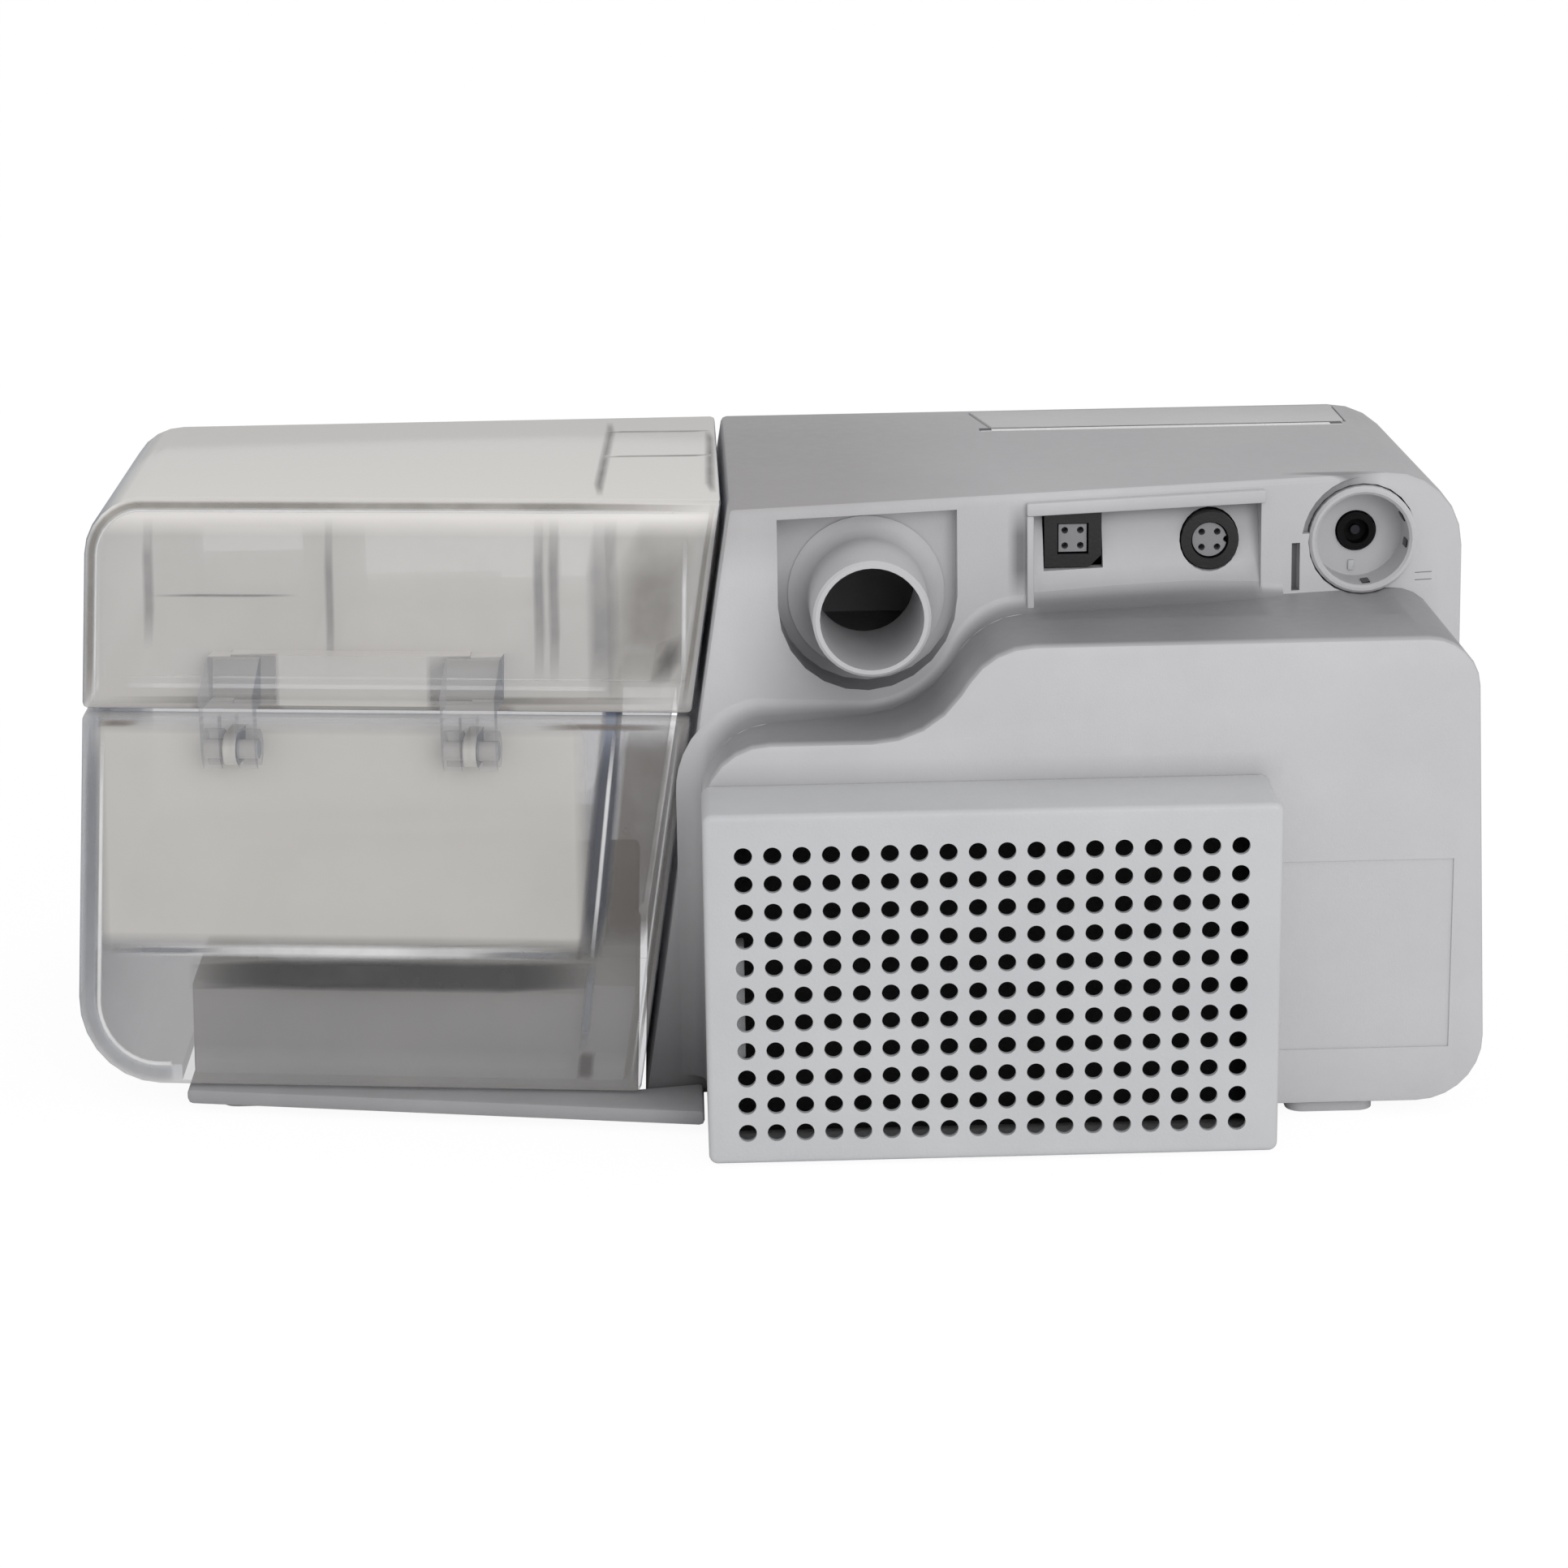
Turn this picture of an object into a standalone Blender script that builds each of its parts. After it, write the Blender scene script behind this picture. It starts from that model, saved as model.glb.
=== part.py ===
# Bilevel positive airway pressure machine with a docked humidifier, in metres.
# The rear, with its sockets and filter cover, faces -Y. The origin is at the bottom centre.
import math

import bmesh
import bpy
from mathutils import Matrix, Vector

# Overall sizes
CASE_TOP = 0.112
CASE_BOTTOM = 0.002
CASE_RIGHT_BASE = 0.1325
CASE_RIGHT_TOP = 0.1320
CASE_WALL = 0.0025
CASE_CORNER = 0.015
CASE_BASE_CORNER = 0.012
CASE_EDGE = 0.001
CLEAR = 0.0003
OVERRUN = 0.02
REACH = 0.09
FAR = 0.12
ARC_STEP = math.radians(15)

# The seam between the main unit and the humidifier leans out towards the humidifier's foot
SEAM_BASE = -0.0244
SEAM_TOP = -0.0063
SEAM_GAP = 0.0012

# Rear face of the upper casing: its place at X 0, Z 0, its turn in plan and its lean
REAR_Y = -0.0371
REAR_TURN = 0.18
REAR_LEAN = 0.04

# Front face of the whole machine
FRONT_Y = 0.0727
FRONT_LEAN = -0.1136
FRONT_THICK = 0.003

# Lower rear block, whose top line rises in an S
BLOCK_Y = -0.0535
BLOCK_LIFT = 0.0003
BLOCK_LEFT = -0.0125
BLOCK_RIGHT_BASE = 0.1305
BLOCK_RIGHT_TOP = 0.1271
BLOCK_DROP = 0.022
BLOCK_RISE = 0.0171
BLOCK_HIGH = CASE_TOP - BLOCK_DROP
BLOCK_LOW = BLOCK_HIGH - BLOCK_RISE
RISE_FOOT = 0.02855
RISE_HEAD = 0.03985
RISE_FOOT_RADIUS = 0.019
RISE_HEAD_RADIUS = 0.014
BLOCK_LEFT_CORNER = 0.0125
BLOCK_RIGHT_CORNER = 0.0095

# Label recess on the block, left bare
LABEL_RIGHT = 0.1235
LABEL_WIDE = 0.032
LABEL_LOW = 0.013
LABEL_HIGH = 0.049
LABEL_DEEP = 0.0004

# Filter cover and what lies behind it
COVER_LEFT = -0.0125
COVER_WIDE = 0.102
COVER_DEEP = 0.019
COVER_LOW = 0.0006
COVER_HIGH = 0.0656
COVER_WALL = 0.002
COVER_EDGE = 0.0012
HOLE_COLUMNS = 18
HOLE_ROWS = 11
HOLE_PITCH = 0.00515
HOLE_RADIUS = 0.00165
HOLE_LEFT = -0.0055
HOLE_HIGH = 0.058
HOLE_SIDES = 8
COVER_CLIP_WIDE = 0.005
COVER_CLIP_LOW = 0.019
COVER_CLIP_HIGH = 0.040
COVER_CLIP_IN = 0.003
PAD_THICK = 0.009
PAD_EDGE_GAP = 0.0008
INLET_MARGIN = 0.014
INLET_BAR = 0.003
INLET_BARS = 4

# Air outlet in its D-shaped pocket
OUTLET_X = 0.0189
OUTLET_DROP = 0.0185
OUTLET_Z = CASE_TOP - OUTLET_DROP
OUTLET_OUTER = 0.011
OUTLET_TAPER = 0.0003
OUTLET_BORE = 0.0094
OUTLET_MOUTH_Y = -0.0445
POCKET_RADIUS = 0.0166
POCKET_DROP = 0.0025
POCKET_TOP = CASE_TOP - POCKET_DROP
POCKET_FLOOR_Y = -0.0225
OUTLET_SPIGOT = 0.006
OUTLET_FILLET = 0.0035
OUTLET_LIP = 0.0005

# The two sockets stand between the outlet and the power inlet
JACK_X = 0.11255
SQUARE_SHARE = 0.41164
ROUND_SHARE = 0.68927
SQUARE_X = OUTLET_X + (JACK_X - OUTLET_X) * SQUARE_SHARE
ROUND_X = OUTLET_X + (JACK_X - OUTLET_X) * ROUND_SHARE

# Connector pocket, deepest at its top
HOOD_LEFT_OUT = 0.0077
HOOD_RIGHT_OUT = 0.0095
HOOD_LEFT = SQUARE_X - HOOD_LEFT_OUT
HOOD_RIGHT = ROUND_X + HOOD_RIGHT_OUT
HOOD_DROP = 0.0043
HOOD_TOP = CASE_TOP - HOOD_DROP
HOOD_LIFT = 0.0003
HOOD_BOTTOM = BLOCK_HIGH + HOOD_LIFT
HOOD_DEEP = 0.006
SOCKET_BODY = 0.009
SOCKET_OUT = 0.0012
SQUARE_DROP = 0.0055
SQUARE_Z = HOOD_TOP - SQUARE_DROP
SQUARE_WIDE = 0.0106
SQUARE_WALL = 0.0024
SQUARE_CHAMFER = 0.0022
ROUND_DROP = 0.0072
ROUND_Z = HOOD_TOP - ROUND_DROP
ROUND_RADIUS = 0.0054
ROUND_WALL = 0.0019
INSERT_BACK = 0.0008
PIN_HOLE = 0.00065
PIN_PITCH = 0.0029
PIN_DEEP = 0.004

# Power inlet: a round well with a core, half in an arched recess
JACK_DROP = 0.0125
JACK_Z = CASE_TOP - JACK_DROP
JACK_RADIUS = 0.0102
JACK_WALL = 0.0015
JACK_MOUTH_Y = -0.0140
JACK_DEEP = 0.009
JACK_FLOOR = 0.0056
JACK_SEAT = 0.0016
JACK_CORE_RADIUS = 0.0036
JACK_CORE_LONG = 0.0046
JACK_PIN_RADIUS = 0.0009
JACK_PIN_BORE = 0.0024
ARCH_RADIUS = 0.0118
ARCH_FLOOR_Y = -0.0124
ARCH_FROM = math.radians(8)
ARCH_STEPS = 8
SLOT_LEFT_OUT = 0.0137
SLOT_WIDE = 0.0016
SLOT_LIFT = 0.0005
SLOT_TALL = 0.0090
SLOT_FLOOR_Y = -0.0130

# Start bar, a long key let into the top
BAR_NEAR = 0.0405
BAR_SETBACK = 0.0032
BAR_FAR = FRONT_Y + FRONT_LEAN * CASE_TOP - BAR_SETBACK
BAR_LEFT = 0.0440
BAR_SLANT = 0.003
BAR_RIGHT = 0.1175
BAR_THICK = 0.003
BAR_PROUD = 0.0003
BAR_TRAVEL = 0.0012
BAR_GAP = 0.0005
BAR_EDGE = 0.0005
BAR_STEM = 0.0022
BAR_STEM_LONG = 0.004
BAR_STEM_INSET = 0.018
BAR_BOARD_LEFT = 0.0575
BAR_BOARD_RIGHT = 0.1035
BAR_BOARD_NEAR = 0.034
BAR_POST_INSET = 0.003

# Humidifier shell
HUM_LEFT_BASE = -0.1303
HUM_LEFT_TOP = -0.1256
HUM_BOTTOM = 0.0050
HUM_REAR_Y = -0.05015
HUM_REAR_TURN = -0.12
HUM_REAR_LEAN = 0.22
HUM_WALL = 0.0028
HUM_TOP_CORNER = 0.011
HUM_BASE_CORNER = 0.015
HUM_EDGE = 0.001
SPLIT_Z = 0.073
SPLIT_GAP = 0.001
TUB_FLOOR = 0.0285
TUB_FLOOR_THICK = 0.003
PARTITION_TOP = -0.02955
PARTITION_BASE = -0.03465
PARTITION_WALL = 0.003

# Lid hinge: the pin stands off the tub's rear wall, and the lid's forked hooks turn on it
HINGE_DROP = 0.005
HINGE_Z = SPLIT_Z - HINGE_DROP
HINGE_OFF = 0.0058
HINGE_PIN = 0.0018
HOOK_OUTER = 0.0038
HOOK_BORE = 0.0019
HOOK_MIDDLES = (-0.0985, -0.0542)
HOOK_WIDE = 0.010
FORK_GAP = 0.0032
EAR_WIDE = 0.0024
EAR_RADIUS = 0.0030
HOOK_ARM = 0.0030
HINGE_BAR_LIFT = 0.0025
HINGE_BAR_WIDE = 0.009
HINGE_BAR_LOW = SPLIT_Z + HINGE_BAR_LIFT
HINGE_BAR_HIGH = HINGE_BAR_LOW + HINGE_BAR_WIDE
HINGE_BAR_OUT = 0.0042

# Lid insert with its baffles, air duct and seal
INSERT_TOP_GAP = 0.0045
INSERT_LIFT = 0.0045
INSERT_FLOOR = SPLIT_Z + INSERT_LIFT
INSERT_WALL = 0.0015
BAFFLE_PLACES = (-0.0803, -0.0405)
DUCT_LEFT = -0.02925
CELL_LEFT = -0.11405
CELL_RIGHT = -0.08375
CELL_LIFT = 0.007
CELL_LOW = INSERT_FLOOR + CELL_LIFT
CELL_WALL = 0.0015
SEAL_WIDE = 0.003
SEAL_HIGH = 0.0030

# Front latch of the lid
LATCH_X = -0.0675
LATCH_WIDE = 0.030
LATCH_DROP = 0.013
LATCH_LOW = SPLIT_Z - LATCH_DROP
LATCH_RISE = 0.006
LATCH_HIGH = SPLIT_Z + LATCH_RISE
LATCH_THICK = 0.0022
LATCH_PIN = 0.0012
LATCH_BORE = 0.0013
LATCH_BOSS = 0.0026
LATCH_LUG = 0.004

# Humidifier base, heater and the tub's metal plate
BASE_LEFT = -0.1095
BASE_LOW = 0.0015
BASE_HIGH = 0.0046
BASE_REAR_Y = -0.0579
BASE_REAR_TURN = -0.19
BASE_FRONT_IN = 0.004
TONGUE_GAP = 0.0006
HOUSING_LEFT = -0.1091
HOUSING_RIGHT_GAP = 0.004
HOUSING_TOP = 0.0222
HOUSING_WALL = 0.0022
HOUSING_REAR_IN = 0.0075
HOUSING_FRONT_IN = 0.0075
HOUSING_EDGE = 0.0015
COVER_THICK = 0.0015
HEATER_X = -0.0695
HEATER_Y = 0.014
HEATER_WIDE = 0.056
HEATER_DEEP = 0.072
HEATER_CORNER = 0.008
HEATER_THICK = 0.0038
FILM_THICK = 0.0008
FILM_INSET = 0.004
TANK_PLATE_THICK = 0.0015
FLOOR_WINDOW_LIP = 0.004

# Front panel with the display, the knob and two keys
DISPLAY_LEFT = 0.0305
DISPLAY_RIGHT = 0.0905
DISPLAY_DROP = 0.020
DISPLAY_TALL = 0.046
DISPLAY_HIGH = CASE_TOP - DISPLAY_DROP
DISPLAY_LOW = DISPLAY_HIGH - DISPLAY_TALL
DISPLAY_CORNER = 0.004
LENS_THICK = 0.002
LENS_SEAT = 0.0008
LCD_MARGIN = 0.005
LCD_GAP = 0.0004
KNOB_X = 0.1085
KNOB_DROP = 0.030
KNOB_Z = CASE_TOP - KNOB_DROP
KNOB_RADIUS = 0.0115
KNOB_OUT = 0.008
KNOB_SINK = 0.0008
KNOB_EDGE = 0.001
KNOB_SHAFT = 0.003
ENCODER_WIDE = 0.012
ENCODER_DEEP = 0.005
KEY_X = 0.1085
KEY_DROPS = (0.033, 0.020)
KEY_PLACES = tuple(KNOB_Z - drop for drop in KEY_DROPS)
KEY_RADIUS = 0.0042
KEY_OUT = 0.0012
KEY_STEM = 0.0022
KEY_TRAVEL = 0.0010
KEY_GAP = 0.0004
KEY_FLANGE = 0.0052
KEY_FLANGE_THICK = 0.001
KEY_SWITCH = 0.005
KEY_SWITCH_HIGH = 0.0024
BOARD_THICK = 0.0016
FRONT_BOARD_DROP = 0.010
FRONT_BOARD_TALL = 0.062
FRONT_BOARD_HIGH = CASE_TOP - FRONT_BOARD_DROP
FRONT_BOARD_LOW = FRONT_BOARD_HIGH - FRONT_BOARD_TALL
FRONT_BOARD_LEFT = 0.0245
FRONT_BOARD_RIGHT = 0.1205
FRONT_BOARD_BACK = 0.0105

# Blower on the base
BLOWER_X = 0.0625
BLOWER_Y = 0.010
BLOWER_RADIUS = 0.034
BLOWER_WALL = 0.0018
BLOWER_FOOT = 0.0085
BLOWER_HALF = 0.013
BLOWER_EYE = 0.013
IMPELLER_RADIUS = 0.027
IMPELLER_HUB = 0.006
IMPELLER_DISC = 0.0012
IMPELLER_HIGH = 0.009
IMPELLER_LIFT = 0.0030
BLADES = 9
BLADE_THICK = 0.0012
BLADE_SWEEP = math.radians(28)
SHAFT_RADIUS = 0.0015
SHAFT_BORE = 0.0018
MOTOR_RADIUS = 0.014
NECK_WIDE = 0.016
NECK_HIGH = 0.012
NECK_BORE = 0.0045
PAD_RADIUS = 0.004
PAD_RING = 0.028
PADS = 3

# Boards, ducts, base plate, feet and screws
PLATE_THICK = 0.0025
MAIN_BOARD_LEFT = 0.0960
MAIN_BOARD_RIGHT = 0.1220
MAIN_BOARD_NEAR = -0.030
MAIN_BOARD_FAR = 0.044
MAIN_BOARD_Z = 0.060
BOARD_POST = 0.0025
BOARD_POST_INSET = 0.004
MAIN_POST_INSET = 0.012
DUCT_OUTER = 0.0130
DUCT_WALL = 0.0015
DUCT_BEND = 0.012
PORT_SEAL_LIP = 0.0025
PORT_SEAL_OUT = 0.0006
PORT_RADIUS = 0.010
PORT_BORE = 0.0075
PORT_DROP = 0.0185
PORT_Z = CASE_TOP - PORT_DROP
PORT_Y_RETURN = 0.000
PORT_Y_SUPPLY = 0.030
FOOT_WIDE = 0.016
FOOT_DEEP = 0.009
FOOT_CORNER = 0.003
FOOT_LEFT_X = -0.0015
FOOT_RIGHT_X = 0.1025
FOOT_REAR_Y = -0.0465
FOOT_FRONT_Y = 0.061
HUM_FOOT_LEFT_X = -0.0955
HUM_FOOT_RIGHT_X = -0.0415
HUM_FOOT_REAR_Y = -0.030
HUM_FOOT_FRONT_Y = 0.058
WINDOW_LEFT = 0.0085
WINDOW_RIGHT = 0.0965
WINDOW_NEAR = -0.036
WINDOW_FAR = 0.050
WINDOW_CORNER = 0.004
PLATE_LAP = 0.007
SCREW_HEAD = 0.0027
SCREW_HEAD_HIGH = 0.0012
SCREW_SHANK = 0.0013
SCREW_LONG = 0.0056
SCREW_INSET = 0.009

UP = Vector((0, 0, 1))
WELD = 0.000001
FLAT_ANGLE = math.radians(0.2)


# Scene and materials

def clear_scene():
    """Remove whatever the file opened with."""
    for item in list(bpy.data.objects):
        bpy.data.objects.remove(item, do_unlink=True)


def new_collection(name):
    made = bpy.data.collections.new(name)
    bpy.context.scene.collection.children.link(made)
    return made


clear_scene()
PARTS = new_collection("bilevel_machine")
CUTTERS = new_collection("cutters")


def material(name, colour, roughness, metallic=0.0, transmission=0.0):
    """A Principled material, kept once by its name."""
    if name in bpy.data.materials:
        return bpy.data.materials[name]
    made = bpy.data.materials.new(name)
    made.use_nodes = True
    shader = made.node_tree.nodes["Principled BSDF"]
    shader.inputs["Base Color"].default_value = (*colour, 1.0)
    shader.inputs["Roughness"].default_value = roughness
    shader.inputs["Metallic"].default_value = metallic
    shader.inputs["Transmission Weight"].default_value = transmission
    made.diffuse_color = (*colour, 1.0)
    return made


def casing_grey():
    return material("casing_grey", (0.56, 0.56, 0.58), 0.5)


def base_grey():
    return material("base_grey", (0.27, 0.27, 0.29), 0.5)


def clear_plastic():
    return material("clear_plastic", (0.80, 0.79, 0.77), 0.2, 0.0, 0.8)


def black_plastic():
    return material("black_plastic", (0.015, 0.015, 0.018), 0.35)


def socket_grey():
    return material("socket_grey", (0.45, 0.45, 0.47), 0.5)


def rubber():
    return material("rubber", (0.05, 0.05, 0.05), 0.8)


def silicone():
    return material("silicone", (0.28, 0.24, 0.21), 0.6)


def foam():
    return material("foam", (0.03, 0.03, 0.03), 0.95)


def steel():
    return material("steel", (0.60, 0.60, 0.60), 0.3, 1.0)


def aluminium():
    return material("aluminium", (0.72, 0.72, 0.72), 0.35, 1.0)


def copper_film():
    return material("copper_film", (0.55, 0.30, 0.12), 0.4)


def board_green():
    return material("board_green", (0.02, 0.14, 0.07), 0.5)


def glass_black():
    return material("glass_black", (0.01, 0.01, 0.012), 0.08)


# Meshes and objects

def add_part(name, mesh, finish, origin=None):
    """Link a mesh as one named sub-part, with its origin where it turns or slides."""
    mesh.name = name
    mesh.materials.clear()
    mesh.materials.append(finish)
    made = bpy.data.objects.new(name, mesh)
    PARTS.objects.link(made)
    if origin is not None:
        mesh.transform(Matrix.Translation(-Vector(origin)))
        made.location = Vector(origin)
    return made


def add_cutter(name, mesh):
    """Link a mesh that only cuts or joins other parts."""
    mesh.name = name
    made = bpy.data.objects.new(name, mesh)
    CUTTERS.objects.link(made)
    made.hide_render = True
    made.display_type = "WIRE"
    return made


def boolean(target, operation, mesh, name):
    """Cut or join a mesh on a part with an exact Boolean modifier."""
    change = target.modifiers.new(name, "BOOLEAN")
    change.operation = operation
    change.solver = "EXACT"
    change.object = add_cutter(target.name + "." + name, mesh)
    return change


def cut(target, mesh, name):
    return boolean(target, "DIFFERENCE", mesh, name)


def join(target, mesh, name):
    return boolean(target, "UNION", mesh, name)


def soften(target, width, segments=2, degrees=30):
    """Round the edges sharper than an angle."""
    change = target.modifiers.new("edges", "BEVEL")
    change.width = width
    change.segments = segments
    change.limit_method = "ANGLE"
    change.angle_limit = math.radians(degrees)
    change.use_clamp_overlap = True
    change.harden_normals = False
    return change


def smooth(mesh, degrees=35):
    mesh.shade_smooth()
    mesh.set_sharp_from_angle(angle=math.radians(degrees))
    return mesh


def meshed(work):
    """Turn a bmesh into mesh data with its faces pointing out."""
    bmesh.ops.recalc_face_normals(work, faces=work.faces)
    mesh = bpy.data.meshes.new("shape")
    work.to_mesh(mesh)
    work.free()
    return mesh


def box(low, high):
    """A box between two corners."""
    low, high = Vector(low), Vector(high)
    work = bmesh.new()
    bmesh.ops.create_cube(work, size=1.0)
    size = high - low
    bmesh.ops.scale(work, vec=size, verts=work.verts)
    bmesh.ops.translate(work, vec=(low + high) / 2, verts=work.verts)
    return meshed(work)


def rod(start, end, radius, end_radius=None, sides=24):
    """A cylinder or cone between two points."""
    start, end = Vector(start), Vector(end)
    along = end - start
    work = bmesh.new()
    bmesh.ops.create_cone(
        work, cap_ends=True, segments=sides, radius1=radius,
        radius2=radius if end_radius is None else end_radius, depth=along.length,
    )
    turn = UP.rotation_difference(along).to_matrix().to_4x4()
    bmesh.ops.transform(work, matrix=Matrix.Translation((start + end) / 2) @ turn, verts=work.verts)
    return meshed(work)


def inset_corners(corners, inset):
    """Move each side of an anticlockwise outline inwards, and its corner radii with it."""
    if not inset:
        return list(corners)
    count = len(corners)
    moved = []
    for index in range(count):
        here = Vector(corners[index][:2])
        last = (here - Vector(corners[index - 1][:2])).normalized()
        ahead = (Vector(corners[(index + 1) % count][:2]) - here).normalized()
        turn = last.x * ahead.y - last.y * ahead.x
        normal_a = Vector((-last.y, last.x))
        normal_b = Vector((-ahead.y, ahead.x))
        spread = 1 + normal_a.dot(normal_b)
        place = here + (normal_a + normal_b) * (inset / spread)
        radius = corners[index][2]
        if radius:
            radius = max(radius - inset, 0) if turn > 0 else radius + inset
        moved.append((place.x, place.y, radius))
    return moved


def outline(corners, inset=0):
    """Points of an outline whose corners are given as place and radius, anticlockwise."""
    corners = inset_corners(corners, inset)
    count = len(corners)
    points = []
    for index in range(count):
        x, y, radius = corners[index]
        here = Vector((x, y))
        if radius <= 0:
            points.append(here)
            continue
        back = (Vector(corners[index - 1][:2]) - here).normalized()
        ahead = (Vector(corners[(index + 1) % count][:2]) - here).normalized()
        opening = back.angle(ahead)
        reach = radius / math.tan(opening / 2)
        centre = here + (back + ahead).normalized() * (radius / math.sin(opening / 2))
        first = here + back * reach - centre
        sweep = math.pi - opening
        if back.x * ahead.y - back.y * ahead.x > 0:
            sweep = -sweep
        steps = max(2, math.ceil(abs(sweep) / ARC_STEP))
        for step in range(steps + 1):
            points.append(centre + Matrix.Rotation(sweep * step / steps, 2) @ first)
    return [place for index, place in enumerate(points) if (place - points[index - 1]).length > WELD]


def prism(points, start, end, axis="Y"):
    """A closed outline drawn as a filled curve, drawn out along an axis and made a mesh.

    Along Y the outline is in X and Z; along Z it is in X and Y; along X it is in Y and Z.
    """
    curve = bpy.data.curves.new("outline", "CURVE")
    curve.dimensions = "2D"
    curve.fill_mode = "BOTH"
    curve.extrude = abs(end - start) / 2
    spline = curve.splines.new("POLY")
    spline.points.add(len(points) - 1)
    for point, place in zip(spline.points, points):
        point.co = (place[0], place[1], 0, 1)
    spline.use_cyclic_u = True
    drawn = bpy.data.objects.new("outline", curve)
    bpy.context.scene.collection.objects.link(drawn)
    bpy.context.view_layer.update()
    seen = drawn.evaluated_get(bpy.context.evaluated_depsgraph_get())
    mesh = bpy.data.meshes.new_from_object(seen)
    middle = (start + end) / 2
    turns = {
        "Y": Matrix(((1, 0, 0, 0), (0, 0, -1, middle), (0, 1, 0, 0), (0, 0, 0, 1))),
        "Z": Matrix.Translation((0, 0, middle)),
        "X": Matrix(((0, 0, 1, middle), (1, 0, 0, 0), (0, 1, 0, 0), (0, 0, 0, 1))),
    }
    work = bmesh.new()
    work.from_mesh(mesh)
    bmesh.ops.remove_doubles(work, verts=work.verts, dist=WELD)
    bmesh.ops.dissolve_limit(work, angle_limit=FLAT_ANGLE, verts=work.verts, edges=work.edges)
    bmesh.ops.transform(work, matrix=turns[axis], verts=work.verts)
    bpy.data.objects.remove(drawn)
    bpy.data.curves.remove(curve)
    bpy.data.meshes.remove(mesh)
    return meshed(work)


def trim(mesh, point, outward):
    """Cut away what lies beyond a plane and close the cut."""
    work = bmesh.new()
    work.from_mesh(mesh)
    geometry = work.verts[:] + work.edges[:] + work.faces[:]
    cut_through = bmesh.ops.bisect_plane(
        work, geom=geometry, plane_co=point, plane_no=outward, clear_outer=True, dist=WELD,
    )
    edges = [item for item in cut_through["geom_cut"] if isinstance(item, bmesh.types.BMEdge)]
    if edges:
        bmesh.ops.edgeloop_fill(work, edges=edges)
    bpy.data.meshes.remove(mesh)
    return meshed(work)


def merge(meshes):
    """Put the meshes of a few separate cutters in one."""
    work = bmesh.new()
    for mesh in meshes:
        work.from_mesh(mesh)
        bpy.data.meshes.remove(mesh)
    return meshed(work)


# Planes and lines that several parts share

def leaning(y, turn, lean, facing, inset=0, z=0):
    """The plane Y = y + turn X + lean (Z - z), moved inwards, with its outward normal."""
    normal = Vector((-turn, 1, -lean)).normalized() * facing
    return Vector((0, y, z)) - normal * inset, normal


def rear_plane(inset=0):
    return leaning(REAR_Y, REAR_TURN, REAR_LEAN, -1, inset)


def front_plane(inset=0):
    return leaning(FRONT_Y, 0, FRONT_LEAN, 1, inset)


def hum_rear_plane(inset=0):
    return leaning(HUM_REAR_Y, HUM_REAR_TURN, HUM_REAR_LEAN, -1, inset)


def between(low, high, share):
    return low + (high - low) * share


def seam_x(z):
    return between(SEAM_BASE, SEAM_TOP, z / CASE_TOP)


def rear_y(x, z):
    return REAR_Y + REAR_TURN * x + REAR_LEAN * z


def front_y(z):
    return FRONT_Y + FRONT_LEAN * z


def hum_rear_y(x, z):
    return HUM_REAR_Y + HUM_REAR_TURN * x + HUM_REAR_LEAN * z


def hum_left(z):
    return between(HUM_LEFT_BASE, HUM_LEFT_TOP, (z - HUM_BOTTOM) / (CASE_TOP - HUM_BOTTOM))


def case_corners():
    return [
        (seam_x(CASE_BOTTOM), CASE_BOTTOM, 0),
        (CASE_RIGHT_BASE, CASE_BOTTOM, CASE_BASE_CORNER),
        (CASE_RIGHT_TOP, CASE_TOP, CASE_CORNER),
        (seam_x(CASE_TOP), CASE_TOP, 0),
    ]


def block_corners():
    return [
        (BLOCK_LEFT, CASE_BOTTOM + BLOCK_LIFT, 0),
        (BLOCK_RIGHT_BASE, CASE_BOTTOM + BLOCK_LIFT, CASE_BASE_CORNER),
        (BLOCK_RIGHT_TOP, BLOCK_HIGH, BLOCK_RIGHT_CORNER),
        (RISE_HEAD, BLOCK_HIGH, RISE_HEAD_RADIUS),
        (RISE_FOOT, BLOCK_LOW, RISE_FOOT_RADIUS),
        (BLOCK_LEFT, BLOCK_LOW, BLOCK_LEFT_CORNER),
    ]


def hum_corners():
    return [
        (hum_left(HUM_BOTTOM), HUM_BOTTOM, HUM_BASE_CORNER),
        (seam_x(HUM_BOTTOM) - SEAM_GAP, HUM_BOTTOM, 0),
        (seam_x(CASE_TOP) - SEAM_GAP, CASE_TOP, 0),
        (hum_left(CASE_TOP), CASE_TOP, HUM_TOP_CORNER),
    ]


def rectangle(left, low, right, high, radius=0):
    return [(left, low, radius), (right, low, radius), (right, high, radius), (left, high, radius)]


def slab(corners, inset, near, far):
    """An outline seen from the rear, drawn through the machine between two planes."""
    mesh = prism(outline(corners, inset), -FAR, FAR)
    mesh = trim(mesh, *near)
    return trim(mesh, *far)


def open_ended(y):
    """A plane square to Y, beyond which an outline is not needed."""
    return Vector((0, y, 0)), Vector((0, math.copysign(1, y), 0))


# Main casing

def pocket_corners():
    left = OUTLET_X - POCKET_RADIUS
    right = OUTLET_X + POCKET_RADIUS
    low = OUTLET_Z - POCKET_RADIUS
    return [
        (left, low, POCKET_RADIUS), (right, low, POCKET_RADIUS),
        (right, POCKET_TOP, 0), (left, POCKET_TOP, 0),
    ]


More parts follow.
